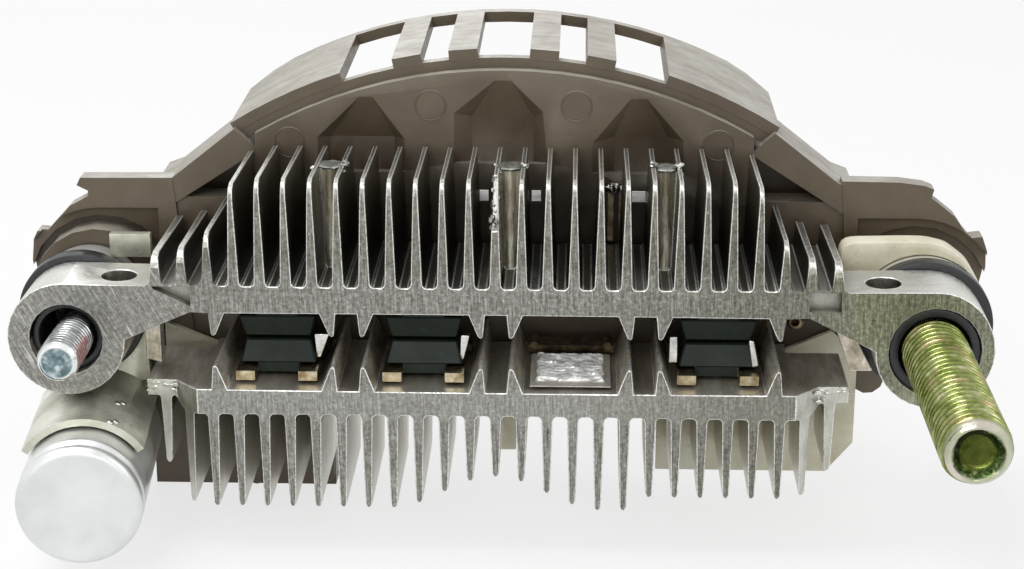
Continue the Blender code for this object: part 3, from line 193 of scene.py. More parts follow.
class Shader:
    """One node material, with short calls for the nodes that the looks below share."""

    def __init__(self, name, metallic=0.0, specular=0.5):
        self.material = bpy.data.materials.new(name)
        self.material.use_nodes = True
        self.tree = self.material.node_tree
        self.bsdf = self.tree.nodes["Principled BSDF"]
        self.bsdf.inputs["Metallic"].default_value = metallic
        self.bsdf.inputs["Specular IOR Level"].default_value = specular
        self.coordinates = self.tree.nodes.new("ShaderNodeTexCoord").outputs["Object"]

    def node(self, kind, inputs=None, **settings):
        made = self.tree.nodes.new(kind)
        for key, value in settings.items():
            setattr(made, key, value)
        for key, value in (inputs or {}).items():
            self.feed(made.inputs[key], value)
        return made

    def feed(self, socket, value):
        """Links value to socket where it is a socket too, and sets it otherwise; a colour has three parts."""
        if isinstance(value, bpy.types.NodeSocket):
            self.tree.links.new(value, socket)
        elif socket.type == "RGBA":
            socket.default_value = (*value, 1.0)
        else:
            socket.default_value = value

    def put(self, name, value):
        self.feed(self.bsdf.inputs[name], value)

    def at(self, scale, turn=(0.0, 0.0, 0.0)):
        """Object coordinates, turned and then stretched."""
        turned = self.coordinates
        if any(turn):
            turned = self.node("ShaderNodeMapping", {"Vector": turned, "Rotation": turn}).outputs[0]
        return self.node("ShaderNodeMapping", {"Vector": turned, "Scale": scale}).outputs[0]

    def noise(self, scale, detail, roughness, at=None, distortion=0.0):
        settings = {"Vector": at or self.coordinates, "Scale": scale, "Detail": detail,
                    "Roughness": roughness, "Distortion": distortion}
        return self.node("ShaderNodeTexNoise", settings).outputs["Fac"]

    def cells(self, scale):
        settings = {"Vector": self.coordinates, "Scale": scale}
        return self.node("ShaderNodeTexVoronoi", settings).outputs["Distance"]

    def ramp(self, value, stops):
        """A colour per place along value; stops are (place, colour)."""
        made = self.node("ShaderNodeValToRGB", {"Fac": value})
        parts = made.color_ramp.elements
        while len(parts) < len(stops):
            parts.new(0.5)
        for part, (place, colour) in zip(parts, stops):
            part.position = place
            part.color = (*colour, 1.0)
        return made.outputs["Color"]

    def span(self, value, low, high, to_low=0.0, to_high=1.0):
        """value taken from low..high to to_low..to_high, and held there beyond."""
        made = self.node("ShaderNodeMapRange", {"Value": value, "From Min": low, "From Max": high,
                                                "To Min": to_low, "To Max": to_high})
        made.clamp = True
        return made.outputs[0]

    def vary(self, value, low, high):
        """A noise's usual range taken to low..high."""
        return self.span(value, NOISE_LOW, NOISE_HIGH, low, high)

    def mix(self, share, first, second, blend="MIX"):
        made = self.node("ShaderNodeMix", data_type="RGBA", blend_type=blend)
        self.feed(made.inputs[0], share)
        self.feed(made.inputs[6], first)
        self.feed(made.inputs[7], second)
        return made.outputs[2]

    def tinted(self, colour, tint, share=1.0):
        return self.mix(share, colour, tint, "MULTIPLY")

    def sum(self, operation, first, second=0.0):
        return self.node("ShaderNodeMath", {0: first, 1: second}, operation=operation).outputs[0]

    def times(self, first, second):
        return self.sum("MULTIPLY", first, second)

    def axis(self, source, index):
        return self.node("ShaderNodeSeparateXYZ", {0: source}).outputs[index]

    def place(self, index):
        return self.axis(self.coordinates, index)

    def about(self, centre):
        """How far a point is right of, above and away from the Y line through centre."""
        across = self.sum("SUBTRACT", self.place(0), centre.x)
        up = self.sum("SUBTRACT", self.place(2), centre.z)
        squares = self.sum("ADD", self.times(across, across), self.times(up, up))
        return across, up, self.sum("POWER", squares, 0.5)

    def facing(self, index, which="True Normal"):
        """The surface normal's part along one axis."""
        return self.axis(self.node("ShaderNodeNewGeometry").outputs[which], index)

    def open_sky(self, reach, low, high):
        """1 on open surfaces, down to 0 deep in gaps narrower than reach."""
        made = self.node("ShaderNodeAmbientOcclusion", {"Distance": reach}, samples=6)
        return self.span(made.outputs["AO"], low, high)

    def within(self, value, first, second, soft):
        """1 where value lies between first and second, fading over soft at both ends."""
        rising = self.span(value, first - soft, first + soft)
        falling = self.span(value, second - soft, second + soft, 1.0, 0.0)
        return self.times(rising, falling)

    def bump(self, height, distance, strength):
        settings = {"Height": height, "Distance": distance, "Strength": strength}
        return self.node("ShaderNodeBump", settings).outputs[0]


def cast_skin(s, cloud, grain):
    """The casting's colour, with painted light on upward faces below the fin tops, darker fin tops and a
    painted highlight on the knees of the fins.
    """
    y, z = s.place(1), s.place(2)
    streak = s.noise(1.0, 3.0, 0.6, at=s.at((900.0, 700.0, 170.0)))
    skin = s.ramp(s.sum("ADD", s.times(cloud, 0.6), s.times(streak, 0.4)),
                  [(0.32, (0.33, 0.32, 0.27)), (0.50, (0.52, 0.515, 0.465)), (0.68, (0.70, 0.695, 0.65))])
    # Painted light: upward faces below the fin tops are made paler, as if lit from above.
    lit_upward_faces = s.times(s.span(s.facing(2, "Normal"), 0.20, 0.90), s.span(z, *FIN_TOPS_Z, 1.0, 0.0))
    skin = s.mix(s.times(lit_upward_faces, 0.65), skin, (0.80, 0.80, 0.765))
    # The upward faces of the fin tops are made darker.
    tops = s.times(s.span(s.facing(2), 0.80, 0.97), s.span(z, *FIN_TOPS_Z))
    darker_tops = s.ramp(grain, [(0.35, (0.16, 0.155, 0.13)), (0.62, (0.40, 0.395, 0.36))])
    skin = s.mix(s.times(tops, 0.75), skin, darker_tops)
    # Painted highlight: bright patches on the front-facing knees of the upper fins.
    knee = s.times(s.within(s.facing(1), -0.93, -0.20, 0.03), s.span(z, *KNEE_Z))
    knee_highlight = s.ramp(grain, [(0.38, (0.42, 0.415, 0.38)), (0.56, (0.90, 0.90, 0.87))])
    skin = s.mix(s.times(knee, s.span(y, *KNEE_Y)), skin, knee_highlight)
    return s.mix(s.span(grain, 0.62, 0.74), skin, (0.84, 0.84, 0.80))


def shaded_between_fins(s, skin):
    """skin with painted shade deep between the fins and on their sides, least at the lower fins."""
    z = s.place(2)
    sideways = s.span(s.sum("ABSOLUTE", s.facing(0)), 0.75, 0.95)
    below = s.span(z, *LOWER_FINS_Z, 1.0, 0.0)
    high = s.span(z, *LESS_SHADED_FINS_Z)
    deep = s.mix(sideways, (0.20, 0.19, 0.155), s.mix(high, (0.075, 0.070, 0.056), (0.30, 0.275, 0.21)))
    deep = s.mix(below, deep, (0.80, 0.78, 0.72))
    # Painted shade: darker where the gaps between the fins are narrow and deep.
    skin = s.mix(s.open_sky(0.0042, 0.20, 0.80), s.tinted(deep, skin, 0.5), skin)
    # Painted shade on the sideways faces, lighter high on the tall fins and least at the lower fins.
    side_shade = s.mix(below, s.mix(high, (0.26, 0.25, 0.21), (0.62, 0.58, 0.48)), (1.0, 0.985, 0.94))
    return s.mix(s.times(sideways, 0.70), skin, s.tinted(skin, side_shade, 0.80))


def sanded_face(s, cloud, lines, mottle, on_left_ear):
    """The front's colour: sanding lines and mottle, lighter and darker parts, long hairs, pits and specks."""
    x, z = s.place(0), s.place(2)
    face = s.ramp(s.mix(0.46, lines, mottle),
                  [(0.38, (0.095, 0.092, 0.076)), (0.50, (0.235, 0.232, 0.208)), (0.62, (0.46, 0.458, 0.43))])
    lower_bar = s.within(z, *LOWER_BAR_Z, 0.0004)
    paler = s.sum("MAXIMUM", s.times(lower_bar, 0.16), s.times(on_left_ear, 0.06))
    face = s.mix(paler, face, (0.62, 0.62, 0.59))
    face = s.mix(s.span(x, *RIGHT_HALF_X), face, s.tinted(face, (0.76, 0.76, 0.71)))
    face = s.mix(s.span(z, *FIN_FRONTS_Z), face, s.tinted(face, (0.72, 0.71, 0.67)))
    olive = s.times(s.span(x, *RIGHT_EAR_X), s.span(cloud, 0.36, 0.56, 0.45, 0.95))
    face = s.mix(olive, face, s.tinted(face, (1.27, 1.31, 1.07)))
    hairs = s.noise(1.0, 2.0, 0.6, at=s.at((2600.0, 1.0, 120.0), (0.0, 0.44, 0.0)))
    face = s.mix(s.times(on_left_ear, s.span(hairs, 0.62, 0.68, 0.0, 0.7)), face, (0.70, 0.70, 0.67))
    pits = s.span(s.cells(2500.0), s.span(lower_bar, 0.0, 1.0, 0.17, 0.27), 0.05)
    pits = s.times(pits, s.span(s.noise(900.0, 3.0, 0.7), 0.42, 0.58, 0.0, 0.9))
    face = s.mix(pits, face, (0.045, 0.042, 0.034))
    return s.mix(s.span(s.noise(2300.0, 3.0, 0.75), 0.62, 0.70, 0.0, 0.8), face, (0.70, 0.70, 0.66))


def cast_aluminium():
    """Die-cast aluminium: skin with painted shade between the fins, cell floors partly stained and partly
    painted light, and a front sanded in fine upright lines.
    """
    s = Shader("cast_aluminium", metallic=1.0)
    sanded = s.times(s.span(s.facing(1), -0.75, -0.95), s.span(s.place(1), *SANDED_Y))
    cloud = s.noise(190.0, 4.0, 0.62)
    grain = s.noise(2600.0, 3.0, 0.7)
    ledge = s.within(s.place(2), *CELL_FLOOR_Z, 0.0002)
    floor_stain_and_light = s.noise(1.0, 4.0, 0.7, at=s.at((420.0, 90.0, 300.0)))
    # Cell floors: brown stain, and paler tones that are painted light where light reaches in.
    stained = [(0.34, (0.26, 0.22, 0.15)), (0.52, (0.56, 0.50, 0.40)), (0.66, (0.86, 0.83, 0.74))]
    skin = s.mix(ledge, shaded_between_fins(s, cast_skin(s, cloud, grain)), s.ramp(floor_stain_and_light, stained))
    s.put("Metallic", s.sum("MAXIMUM", sanded, s.span(ledge, 0.0, 1.0, 1.0, 0.45)))

    upright = s.noise(1.0, 4.0, 0.8, at=s.at((4200.0, 1.0, 300.0), (0.0, 0.03, 0.0)))
    slanted = s.noise(1.0, 4.0, 0.8, at=s.at((4200.0, 1.0, 260.0), (0.0, 0.50, 0.0)))
    on_left_ear = s.span(s.place(0), *LEFT_EAR_X, 1.0, 0.0)
    lines = s.mix(on_left_ear, upright, slanted)
    mottle = s.noise(1900.0, 4.0, 0.75)
    s.put("Base Color", s.mix(sanded, skin, sanded_face(s, cloud, lines, mottle, on_left_ear)))
    s.put("Roughness", s.mix(sanded, s.vary(grain, 0.28, 0.46), s.vary(mottle, 0.50, 0.34)))
    height = s.mix(sanded, s.sum("ADD", grain, s.times(cloud, 2.5)), s.sum("ADD", lines, mottle))
    s.put("Normal", s.bump(height, 0.00004, 0.8))
    return s.material


def bright_edge():
    """Aluminium edges painted bright: bare metal left by sanding and handling, with a painted edge highlight
    and small nicks.
    """
    s = Shader("bright_edge", metallic=0.6)
    nick = s.noise(2400.0, 3.0, 0.7)
    shade = [(0.34, (0.40, 0.395, 0.36)), (0.50, (0.78, 0.78, 0.745)), (0.62, (0.92, 0.92, 0.90))]
    s.put("Base Color", s.ramp(nick, shade))
    s.put("Roughness", s.vary(nick, 0.42, 0.26))
    s.put("Normal", s.bump(nick, 0.00004, 0.8))
    return s.material


def post_skin():
    """Cast bosses and posts in a painted brownish shade that the moulding throws on them, with upward faces
    painted lighter as lit.
    """
    s = Shader("post_skin", metallic=0.45)
    cloud = s.noise(1.0, 4.0, 0.6, at=s.at((1100.0, 1100.0, 130.0)))
    shade = [(0.32, (0.17, 0.145, 0.10)), (0.50, (0.34, 0.305, 0.225)), (0.68, (0.72, 0.69, 0.58))]
    # Painted light: upward faces turn a paler grey.
    s.put("Base Color", s.mix(s.span(s.facing(2), 0.5, 0.9), s.ramp(cloud, shade), (0.50, 0.52, 0.50)))
    s.put("Roughness", s.vary(cloud, 0.20, 0.36))
    s.put("Normal", s.bump(s.sum("ADD", cloud, s.noise(1900.0, 2.0, 0.5)), 0.00006, 0.8))
    return s.material


def brown_moulding(name="brown_moulding", lift=1.0):
    """Brown phenolic: satin skin with flow marks, a painted paler sheen on upper sides, scuffs, and painted
    shade in recesses.
    """
    s = Shader(name)
    cloud = s.noise(75.0, 4.0, 0.6)
    fine = s.noise(2300.0, 3.0, 0.6)
    shades = ((0.30, (0.086, 0.064, 0.040)), (0.52, (0.118, 0.091, 0.060)), (0.74, (0.150, 0.120, 0.084)))
    base = s.ramp(cloud, [(place, tuple(part * lift for part in shade)) for place, shade in shades])
    upward = s.span(s.facing(2), 0.45, 0.85)
    # Painted sheen: upward faces turn a paler grey, varied by noise.
    painted_sheen = s.noise(1.0, 4.0, 0.7, at=s.at((110.0, 260.0, 110.0)))
    painted_sheen = s.span(painted_sheen, 0.36, 0.62, 0.45, 0.95)
    base = s.mix(s.times(upward, painted_sheen), base, (0.37, 0.352, 0.302))
    scuffs = s.noise(1.0, 3.0, 0.75, at=s.at((240.0, 1700.0, 900.0), (0.0, 0.0, 0.35)))
    scuffs = s.span(scuffs, 0.60, 0.68, 0.0, 0.7)
    base = s.mix(s.times(upward, scuffs), base, (0.46, 0.45, 0.41))
    shade = s.open_sky(0.010, 0.10, 0.70)
    base = s.mix(shade, s.tinted(base, (0.50, 0.46, 0.42)), base)
    s.put("Base Color", base)
    s.put("Roughness", s.vary(s.noise(500.0, 4.0, 0.65), 0.30, 0.50))
    s.put("Normal", s.bump(s.sum("ADD", fine, s.times(cloud, 2.0)), 0.00003, 0.8))
    return s.material


def cream_moulding():
    """Cream glass-filled plastic, a little translucent and mottled, with handling marks."""
    s = Shader("cream_moulding")
    cloud = s.noise(150.0, 4.0, 0.62)
    base = s.ramp(cloud, [(0.30, (0.56, 0.53, 0.39)), (0.50, (0.70, 0.675, 0.54)),
                          (0.72, (0.80, 0.78, 0.66))])
    dirt = s.noise(1.0, 4.0, 0.75, at=s.at((500.0, 500.0, 900.0)))
    base = s.mix(s.span(dirt, 0.60, 0.72, 0.0, 0.55), base, (0.27, 0.25, 0.18))
    shade = s.open_sky(0.006, 0.15, 0.75)
    s.put("Base Color", s.mix(shade, s.tinted(base, (0.88, 0.83, 0.72)), base))
    s.put("Roughness", s.vary(s.noise(700.0, 3.0, 0.6), 0.34, 0.56))
    s.put("Subsurface Weight", 0.08)
    s.put("Subsurface Radius", (0.0012, 0.0010, 0.0006))
    s.put("Normal", s.bump(s.noise(1800.0, 3.0, 0.6), 0.00003, 0.7))
    return s.material


def black_plastic(name, colour, roughness, bluish=0.0, shine=0.5):
    """Dark moulded plastic with a thin dusty skin."""
    s = Shader(name, specular=shine)
    dust = s.noise(900.0, 4.0, 0.65)
    middle = tuple(part * 1.35 for part in colour)
    pale = tuple(part * 2.4 + 0.01 + bluish * more for part, more in zip(colour, (0.2, 0.6, 1.0)))
    s.put("Base Color", s.ramp(dust, [(0.35, colour), (0.62, middle), (0.80, pale)]))
    s.put("Roughness", s.vary(s.noise(300.0, 3.0, 0.6), roughness - 0.08, roughness + 0.10))
    s.put("Normal", s.bump(s.noise(2400.0, 2.0, 0.5), 0.00002, 0.6))
    return s.material


def plain_metal(name, dark, middle, pale, roughness, scale, recess=0.35, sheen=1.0):
    """Plated metal: clouded plating, small dents and darker recesses."""
    s = Shader(name, metallic=sheen)
    cloud = s.noise(scale, 4.0, 0.6)
    base = s.ramp(cloud, [(0.30, dark), (0.50, middle), (0.70, pale)])
    shade = s.open_sky(0.004, 0.15, 0.70)
    shaded = s.tinted(base, (recess, recess * 0.97, recess * 0.88))
    s.put("Base Color", s.mix(shade, shaded, base))
    s.put("Roughness", s.vary(s.noise(scale * 3.0, 3.0, 0.6), roughness - 0.07, roughness + 0.09))
    s.put("Normal", s.bump(s.sum("ADD", cloud, s.noise(scale * 6.0, 2.0, 0.5)), 0.00003, 0.6))
    return s.material


def stud_head(s):
    """1 on the bolt head behind the seat, 0 on the shank."""
    return s.span(s.place(1), STUD_SEAT - 0.0004, STUD_SEAT - 0.0001)


def yellow_zinc(tip):
    """Yellow-green chromate over zinc, with painted shade in the thread's grooves, and a pink and green
    shimmer.
    """
    s = Shader("yellow_zinc", metallic=1.0)
    radius = s.about(tip)[2]
    crest = s.sum("MAXIMUM", s.span(radius, 0.00350, 0.00392), stud_head(s))
    cloud = s.noise(420.0, 4.0, 0.65, distortion=0.6)
    tint = s.noise(260.0, 3.0, 0.6)
    base = s.ramp(cloud, [(0.30, (0.11, 0.14, 0.030)), (0.48, (0.24, 0.28, 0.085)),
                          (0.60, (0.38, 0.40, 0.18)), (0.74, (0.62, 0.58, 0.42))])
    base = s.mix(s.span(tint, 0.54, 0.68, 0.0, 0.50), base, (0.48, 0.31, 0.19))
    # Painted shade: the thread's grooves are darker than its crests.
    groove = s.mix(s.span(cloud, 0.35, 0.65), (0.030, 0.042, 0.006), (0.095, 0.115, 0.025))
    thread = s.mix(crest, groove, base)
    end = s.span(s.place(1), tip.y + 0.0010, tip.y + 0.0006)
    rim = s.mix(s.span(tint, 0.42, 0.62), (0.46, 0.48, 0.34), (0.66, 0.60, 0.54))
    hollow = s.ramp(s.noise(1400.0, 4.0, 0.7),
                    [(0.36, (0.012, 0.030, 0.006)), (0.52, (0.07, 0.11, 0.03)), (0.66, (0.34, 0.36, 0.20))])
    face = s.mix(s.span(radius, 0.0027, 0.0030), hollow, rim)
    s.put("Base Color", s.mix(end, thread, face))
    s.put("Roughness", s.vary(s.noise(1500.0, 3.0, 0.6), 0.17, 0.33))
    s.put("Normal", s.bump(s.noise(2200.0, 3.0, 0.6), 0.00003, 0.6))
    return s.material


def bright_zinc(tip):
    """Bright zinc on the fixing stud, with painted shade in its thread's grooves, a streak of old red paint
    and a blue-grey end.
    """
    s = Shader("bright_zinc", metallic=1.0)
    cloud = s.noise(520.0, 4.0, 0.62)
    base = s.ramp(cloud, [(0.30, (0.20, 0.21, 0.21)), (0.50, (0.40, 0.42, 0.42)),
                          (0.70, (0.70, 0.72, 0.72))])
    across, up, radius = s.about(tip)
    crest = s.sum("MAXIMUM", s.span(radius, 0.00215, 0.00245), stud_head(s))
    # Painted shade: the thread's grooves are darker than its crests.
    base = s.mix(crest, s.tinted(base, (0.30, 0.30, 0.28)), base)
    end = s.span(s.place(1), tip.y + 0.0007, tip.y + 0.0004)
    spots = s.noise(900.0, 3.0, 0.6)
    face = s.ramp(spots, [(0.35, (0.10, 0.15, 0.16)), (0.52, (0.23, 0.31, 0.33)),
                          (0.68, (0.60, 0.66, 0.68))])
    base = s.mix(end, base, s.mix(s.span(radius, 0.00175, 0.00200), face, (0.86, 0.88, 0.88)))
    painted = s.times(s.span(across, 0.0012, 0.0017), s.within(up, -0.0013, 0.0013, 0.0003))
    painted = s.times(painted, s.within(s.place(1), tip.y + 0.0008, tip.y + 0.0066, 0.0003))
    painted = s.times(painted, s.span(s.noise(1500.0, 4.0, 0.7), 0.38, 0.48))
    painted = s.times(painted, 0.8)
    s.put("Base Color", s.mix(painted, base, (0.30, 0.095, 0.075)))
    s.put("Metallic", s.sum("SUBTRACT", 1.0, painted))
    s.put("Roughness", s.vary(s.noise(1500.0, 3.0, 0.6), 0.14, 0.28))
    s.put("Normal", s.bump(s.noise(2200.0, 3.0, 0.6), 0.00002, 0.6))
    return s.material


def solder_metal():
    """Bright wrinkled solder with flux specks and brown flux at its border."""
    s = Shader("solder", metallic=0.20)
    flow = s.noise(1.0, 4.0, 0.7, at=s.at((900.0, 2400.0, 900.0)), distortion=0.8)
    base = s.ramp(flow, [(0.30, (0.50, 0.50, 0.46)), (0.38, (0.86, 0.87, 0.85)), (0.48, (0.99, 0.99, 0.98))])
    low = s.span(s.place(2), SOLDER_FLOOR + 0.00024, SOLDER_FLOOR + 0.00032, 0.65, 0.0)
    flux = s.mix(s.span(flow, 0.4, 0.6), (0.22, 0.17, 0.09), (0.46, 0.43, 0.36))
    s.put("Base Color", s.mix(low, base, flux))
    s.put("Roughness", s.vary(flow, 0.36, 0.16))
    s.put("Normal", s.bump(flow, 0.00010, 0.9))
    return s.material


def smooth(mesh, degrees=32.0):
    for polygon in mesh.polygons:
        polygon.use_smooth = True
    mesh.set_sharp_from_angle(angle=math.radians(degrees))


def piece(name, bm, material, stands_for=(), degrees=32.0):
    """Turns bm into a shown piece that rides on the object's one body."""
    bmesh.ops.remove_doubles(bm, verts=bm.verts, dist=SAME_PLACE)
    bmesh.ops.recalc_face_normals(bm, faces=bm.faces)
    mesh = bpy.data.meshes.new(name)
    bm.to_mesh(mesh)
    bm.free()
    smooth(mesh, degrees)
    made = bpy.data.objects.new(name, mesh)
    bpy.context.scene.collection.objects.link(made)
    made.data.materials.append(material)
    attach(made, "root")
    if stands_for:
        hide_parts(*stands_for)
    return made


def node_centre(node):
    low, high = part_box(node)
    return (low + high) / 2


def turns(steps):
    """Angles spread evenly round a full turn."""
    return [2 * math.pi * k / steps for k in range(steps)]


def circle_point(centre, radius, turn, y):
    """The point at an angle on the circle about the Y line through centre."""
    return centre.x + radius * math.cos(turn), y, centre.z + radius * math.sin(turn)


def fill_bands(bm, rows, closed=False):
    """Fills the bands between rows of vertices; a row of one vertex is a point."""
    pairs = list(zip(rows, rows[1:]))
    if closed:
        pairs.append((rows[-1], rows[0]))
    for first, second in pairs:
        steps = max(len(first), len(second))
        for k in range(steps):
            after = (k + 1) % steps
            face = []
            for row, place in ((first, k), (first, after), (second, after), (second, k)):
                corner = row[place % len(row)]
                if corner not in face:
                    face.append(corner)
            bm.faces.new(face)


def revolve(bm, profile, centre, steps=RING_STEPS, closed=False):
    """Turns (radius, y) points about the Y line through centre."""
    rings = []
    for radius, y in profile:
        if radius < 1e-9:
            rings.append([bm.verts.new((centre.x, y, centre.z))])
            continue
        rings.append([bm.verts.new(circle_point(centre, radius, turn, y)) for turn in turns(steps)])
    fill_bands(bm, rings, closed)


def rounded(points, radius):
    """The closed outline with each corner rounded by a short curve."""
    made = []
    for i, point in enumerate(points):
        here = Vector(point)
        before = Vector(points[i - 1]) - here
        after = Vector(points[(i + 1) % len(points)]) - here
        cut = min(radius, before.length * 0.45, after.length * 0.45)
        start = here + before.normalized() * cut
        end = here + after.normalized() * cut
        for k in range(CORNER_STEPS + 1):
            t = k / CORNER_STEPS
            made.append(tuple(start * (1 - t) ** 2 + here * 2 * t * (1 - t) + end * t * t))
    return made


def ring_piece(name, node, material, bore):
    """A smooth ring in place of a faceted CAD ring of the same size."""
    low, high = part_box(node)
    outer = (high.z - low.z) / 2
    outline = [(outer, low.y), (outer, high.y), (bore, high.y), (bore, low.y)]
    bm = bmesh.new()
    revolve(bm, rounded(outline, RING_EDGE), node_centre(node), closed=True)
    piece(name, bm, material, (node,))


def helix(bm, centre, tip, radius, pitch, depth, chamfer):
    """Adds the thread's turns from the tip back to the seat, held in by the chamfer at the tip."""
    rows = int((STUD_SEAT - tip) / pitch + 2) * THREAD_STEPS
    rise = pitch / THREAD_STEPS
    grid = []
    for i in range(rows + 1):
        line = []
        for j in range(THREAD_COLUMNS + 1):
            y = tip - pitch + i * rise + pitch * j / THREAD_COLUMNS
            y = min(max(y, tip), STUD_SEAT)
            turn = 2 * math.pi * j / THREAD_COLUMNS
            near = min(1.0, max(0.0, (y - tip) / chamfer))
            limit = radius - chamfer * (1 - near) * CHAMFER_SHARE
            spot = Vector((math.cos(turn) * 2, math.sin(turn) * 2, y * 900))
            reach = min(limit, radius - depth * (1 - CREST_SHAPE[i % THREAD_STEPS]))
            reach += THREAD_WOBBLE * noise.noise(spot) * near
            line.append(bm.verts.new(circle_point(centre, reach, turn, y)))
        grid.append(line)
    for i in range(rows):
        for j in range(THREAD_COLUMNS):
            bm.faces.new((grid[i][j], grid[i + 1][j], grid[i + 1][j + 1], grid[i][j + 1]))


def threaded(name, node, material, slot, pitch, depth, chamfer, dent):
    """A stud whose thread is a real helix, closed by a dented end face and the bolt head behind."""
    low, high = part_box(node)
    centre = node_centre(node)
    tip = low.y
    radius = STUD_RADIUS[node]
    bm = bmesh.new()
    helix(bm, centre, tip, radius, pitch, depth, chamfer)
    end_radius = radius - chamfer * CHAMFER_SHARE
    rings = []
    for k in range(END_RINGS + 1):
        share = 1 - k / END_RINGS
        rings.append([bm.verts.new(circle_point(centre, end_radius * share, turn, tip + dent(share, turn)))
                      for turn in turns(THREAD_COLUMNS)])
    fill_bands(bm, rings)
    head = (high.z - low.z) / 2
    revolve(bm, [(0.0, STUD_SEAT), (head - 0.0004, STUD_SEAT), (head, STUD_SEAT + 0.0004),
                 (head, high.y - 0.0009), (head - 0.0009, high.y), (0.0, high.y)], centre, THREAD_COLUMNS)
    bmesh.ops.remove_doubles(bm, verts=bm.verts, dist=MERGE)
    piece(name, bm, material, (node,), 40.0)


def cup(share, turn):
    """Three-lobed pressed dent in the output stud's end."""
    lobe = 0.90 + 0.03 * math.cos(3 * turn + 0.6)
    if share > lobe:
        return 0.0
    deep = 1 - (share / lobe) ** 2
    return DENT_DEPTH * min(1.0, deep * 1.7) * (1.0 + 0.16 * math.cos(3 * turn) * share)


def shallow(share, turn):
    """The fixing stud's end: a slight hollow with one flat side."""
    flat = max(0.0, share * math.cos(turn + 2.2) - 0.35)
    return HOLLOW_DEPTH * (1 - share ** 2) + 0.0004 * flat


def lump(bm, centre, radius, squash, roughness):
    """Adds a small rough-cast blob."""
    made = bmesh.ops.create_icosphere(bm, subdivisions=3, radius=1.0)
    for vert in made["verts"]:
        way = vert.co.copy()
        swell = 1.0 + roughness * noise.noise(way * 1.7 + centre * 900.0)
        vert.co = centre + Vector(part * share * radius * swell for part, share in zip(way, squash))


def lumps(bm, places, squash, roughness):
    """Adds a blob for each (x, y, z, radius) in millimetres."""
    for x, y, z, radius in places:
        lump(bm, Vector((x, y, z)) / MM_PER_METRE, radius / MM_PER_METRE, squash, roughness)


def flash_disc(bm, centre, radius, thickness):
    """Adds the thin ragged disc that casting left on top of a boss."""
    spot = centre * 700.0
    rows = []
    for share, height in ((0.0, 0.0), (0.55, 0.02), (0.86, 0.10), (1.0, -0.35), (0.97, -1.0), (0.0, -1.0)):
        if share < 1e-6:
            rows.append([bm.verts.new(centre + Vector((0.0, 0.0, height * thickness)))])
            continue
        row = []
        for turn in turns(DISC_STEPS):
            way = Vector((math.cos(turn), math.sin(turn), 0.0))
            ragged = 1.0 + 0.10 * noise.noise(way * 1.6 + spot) + 0.04 * noise.noise(way * 7.0 + spot)
            lift = 0.35 * share ** 3 * noise.noise(way * 2.3 + spot)
            out = way * radius * share * ragged
            row.append(bm.verts.new(centre + out + Vector((0.0, 0.0, (height + lift) * thickness))))
        rows.append(row)
    fill_bands(bm, rows)


def casting_flash(material):
    """Ragged discs on the bosses, blobs on the fins beside them and along the broken fin."""
    bm = bmesh.new()
    for top in BOSS_TOPS:
        flash_disc(bm, top + Vector((0.0, 0.0, FLASH_LIFT)), FLASH_RADIUS, FLASH_THICKNESS)
    beside_bosses = [(-22.5, 7.2, 19.6, 0.36), (-18.75, 8.3, 19.9, 0.52), (-18.8, 7.1, 19.3, 0.30),
                     (-0.42, 8.0, 19.9, 0.42), (-0.05, 7.2, 19.4, 0.30), (2.85, 8.1, 19.9, 0.48),
                     (18.3, 8.4, 20.1, 0.46), (21.55, 8.2, 20.0, 0.52), (21.7, 7.1, 19.2, 0.36),
                     (18.5, 7.4, 19.4, 0.30)]
    lumps(bm, beside_bosses, (1.0, 1.2, 0.8), 0.6)
    broken_fin = [(-0.35, 0.35, 13.9, 0.34), (-0.62, 1.2, 14.2, 0.36), (-0.30, 2.0, 14.4, 0.40),
                  (-0.72, 2.7, 14.8, 0.42), (-0.45, 3.0, 15.6, 0.36), (-0.62, 3.1, 16.5, 0.34),
                  (-0.25, 3.3, 17.2, 0.32), (-0.50, 3.4, 18.1, 0.36), (-0.30, 3.5, 18.9, 0.30),
                  (-0.48, 3.6, 19.6, 0.34)]
    lumps(bm, broken_fin, (1.1, 0.9, 1.3), 0.7)
    piece("casting_flash", bm, material, degrees=50.0)


def end_flash(material):
    """Rough blobs and porous lips on the set-back ends of the lower casting."""
    bm = bmesh.new()
    for side in (-1, 1):
        for _ in range(END_LUMPS):
            across = random.random()
            x = side * (LOWER_END_X - across * 0.0042) + SINK_MIDDLE_X
            front = LOWER_END_SETBACK
            if across > 0.72:
                front *= 1 - (across - 0.72) / 0.50
            z = -0.00655 - random.random() ** 1.6 * 0.0015
            centre = Vector((x, front + 0.0001, z))
            lump(bm, centre, 0.00020 + 0.00020 * random.random(), (1.5, 0.45, 0.8), 0.5)
    piece("end_flash", bm, material, degrees=50.0)


def open_edges(bm):
    return [line for line in bm.edges if line.is_boundary]


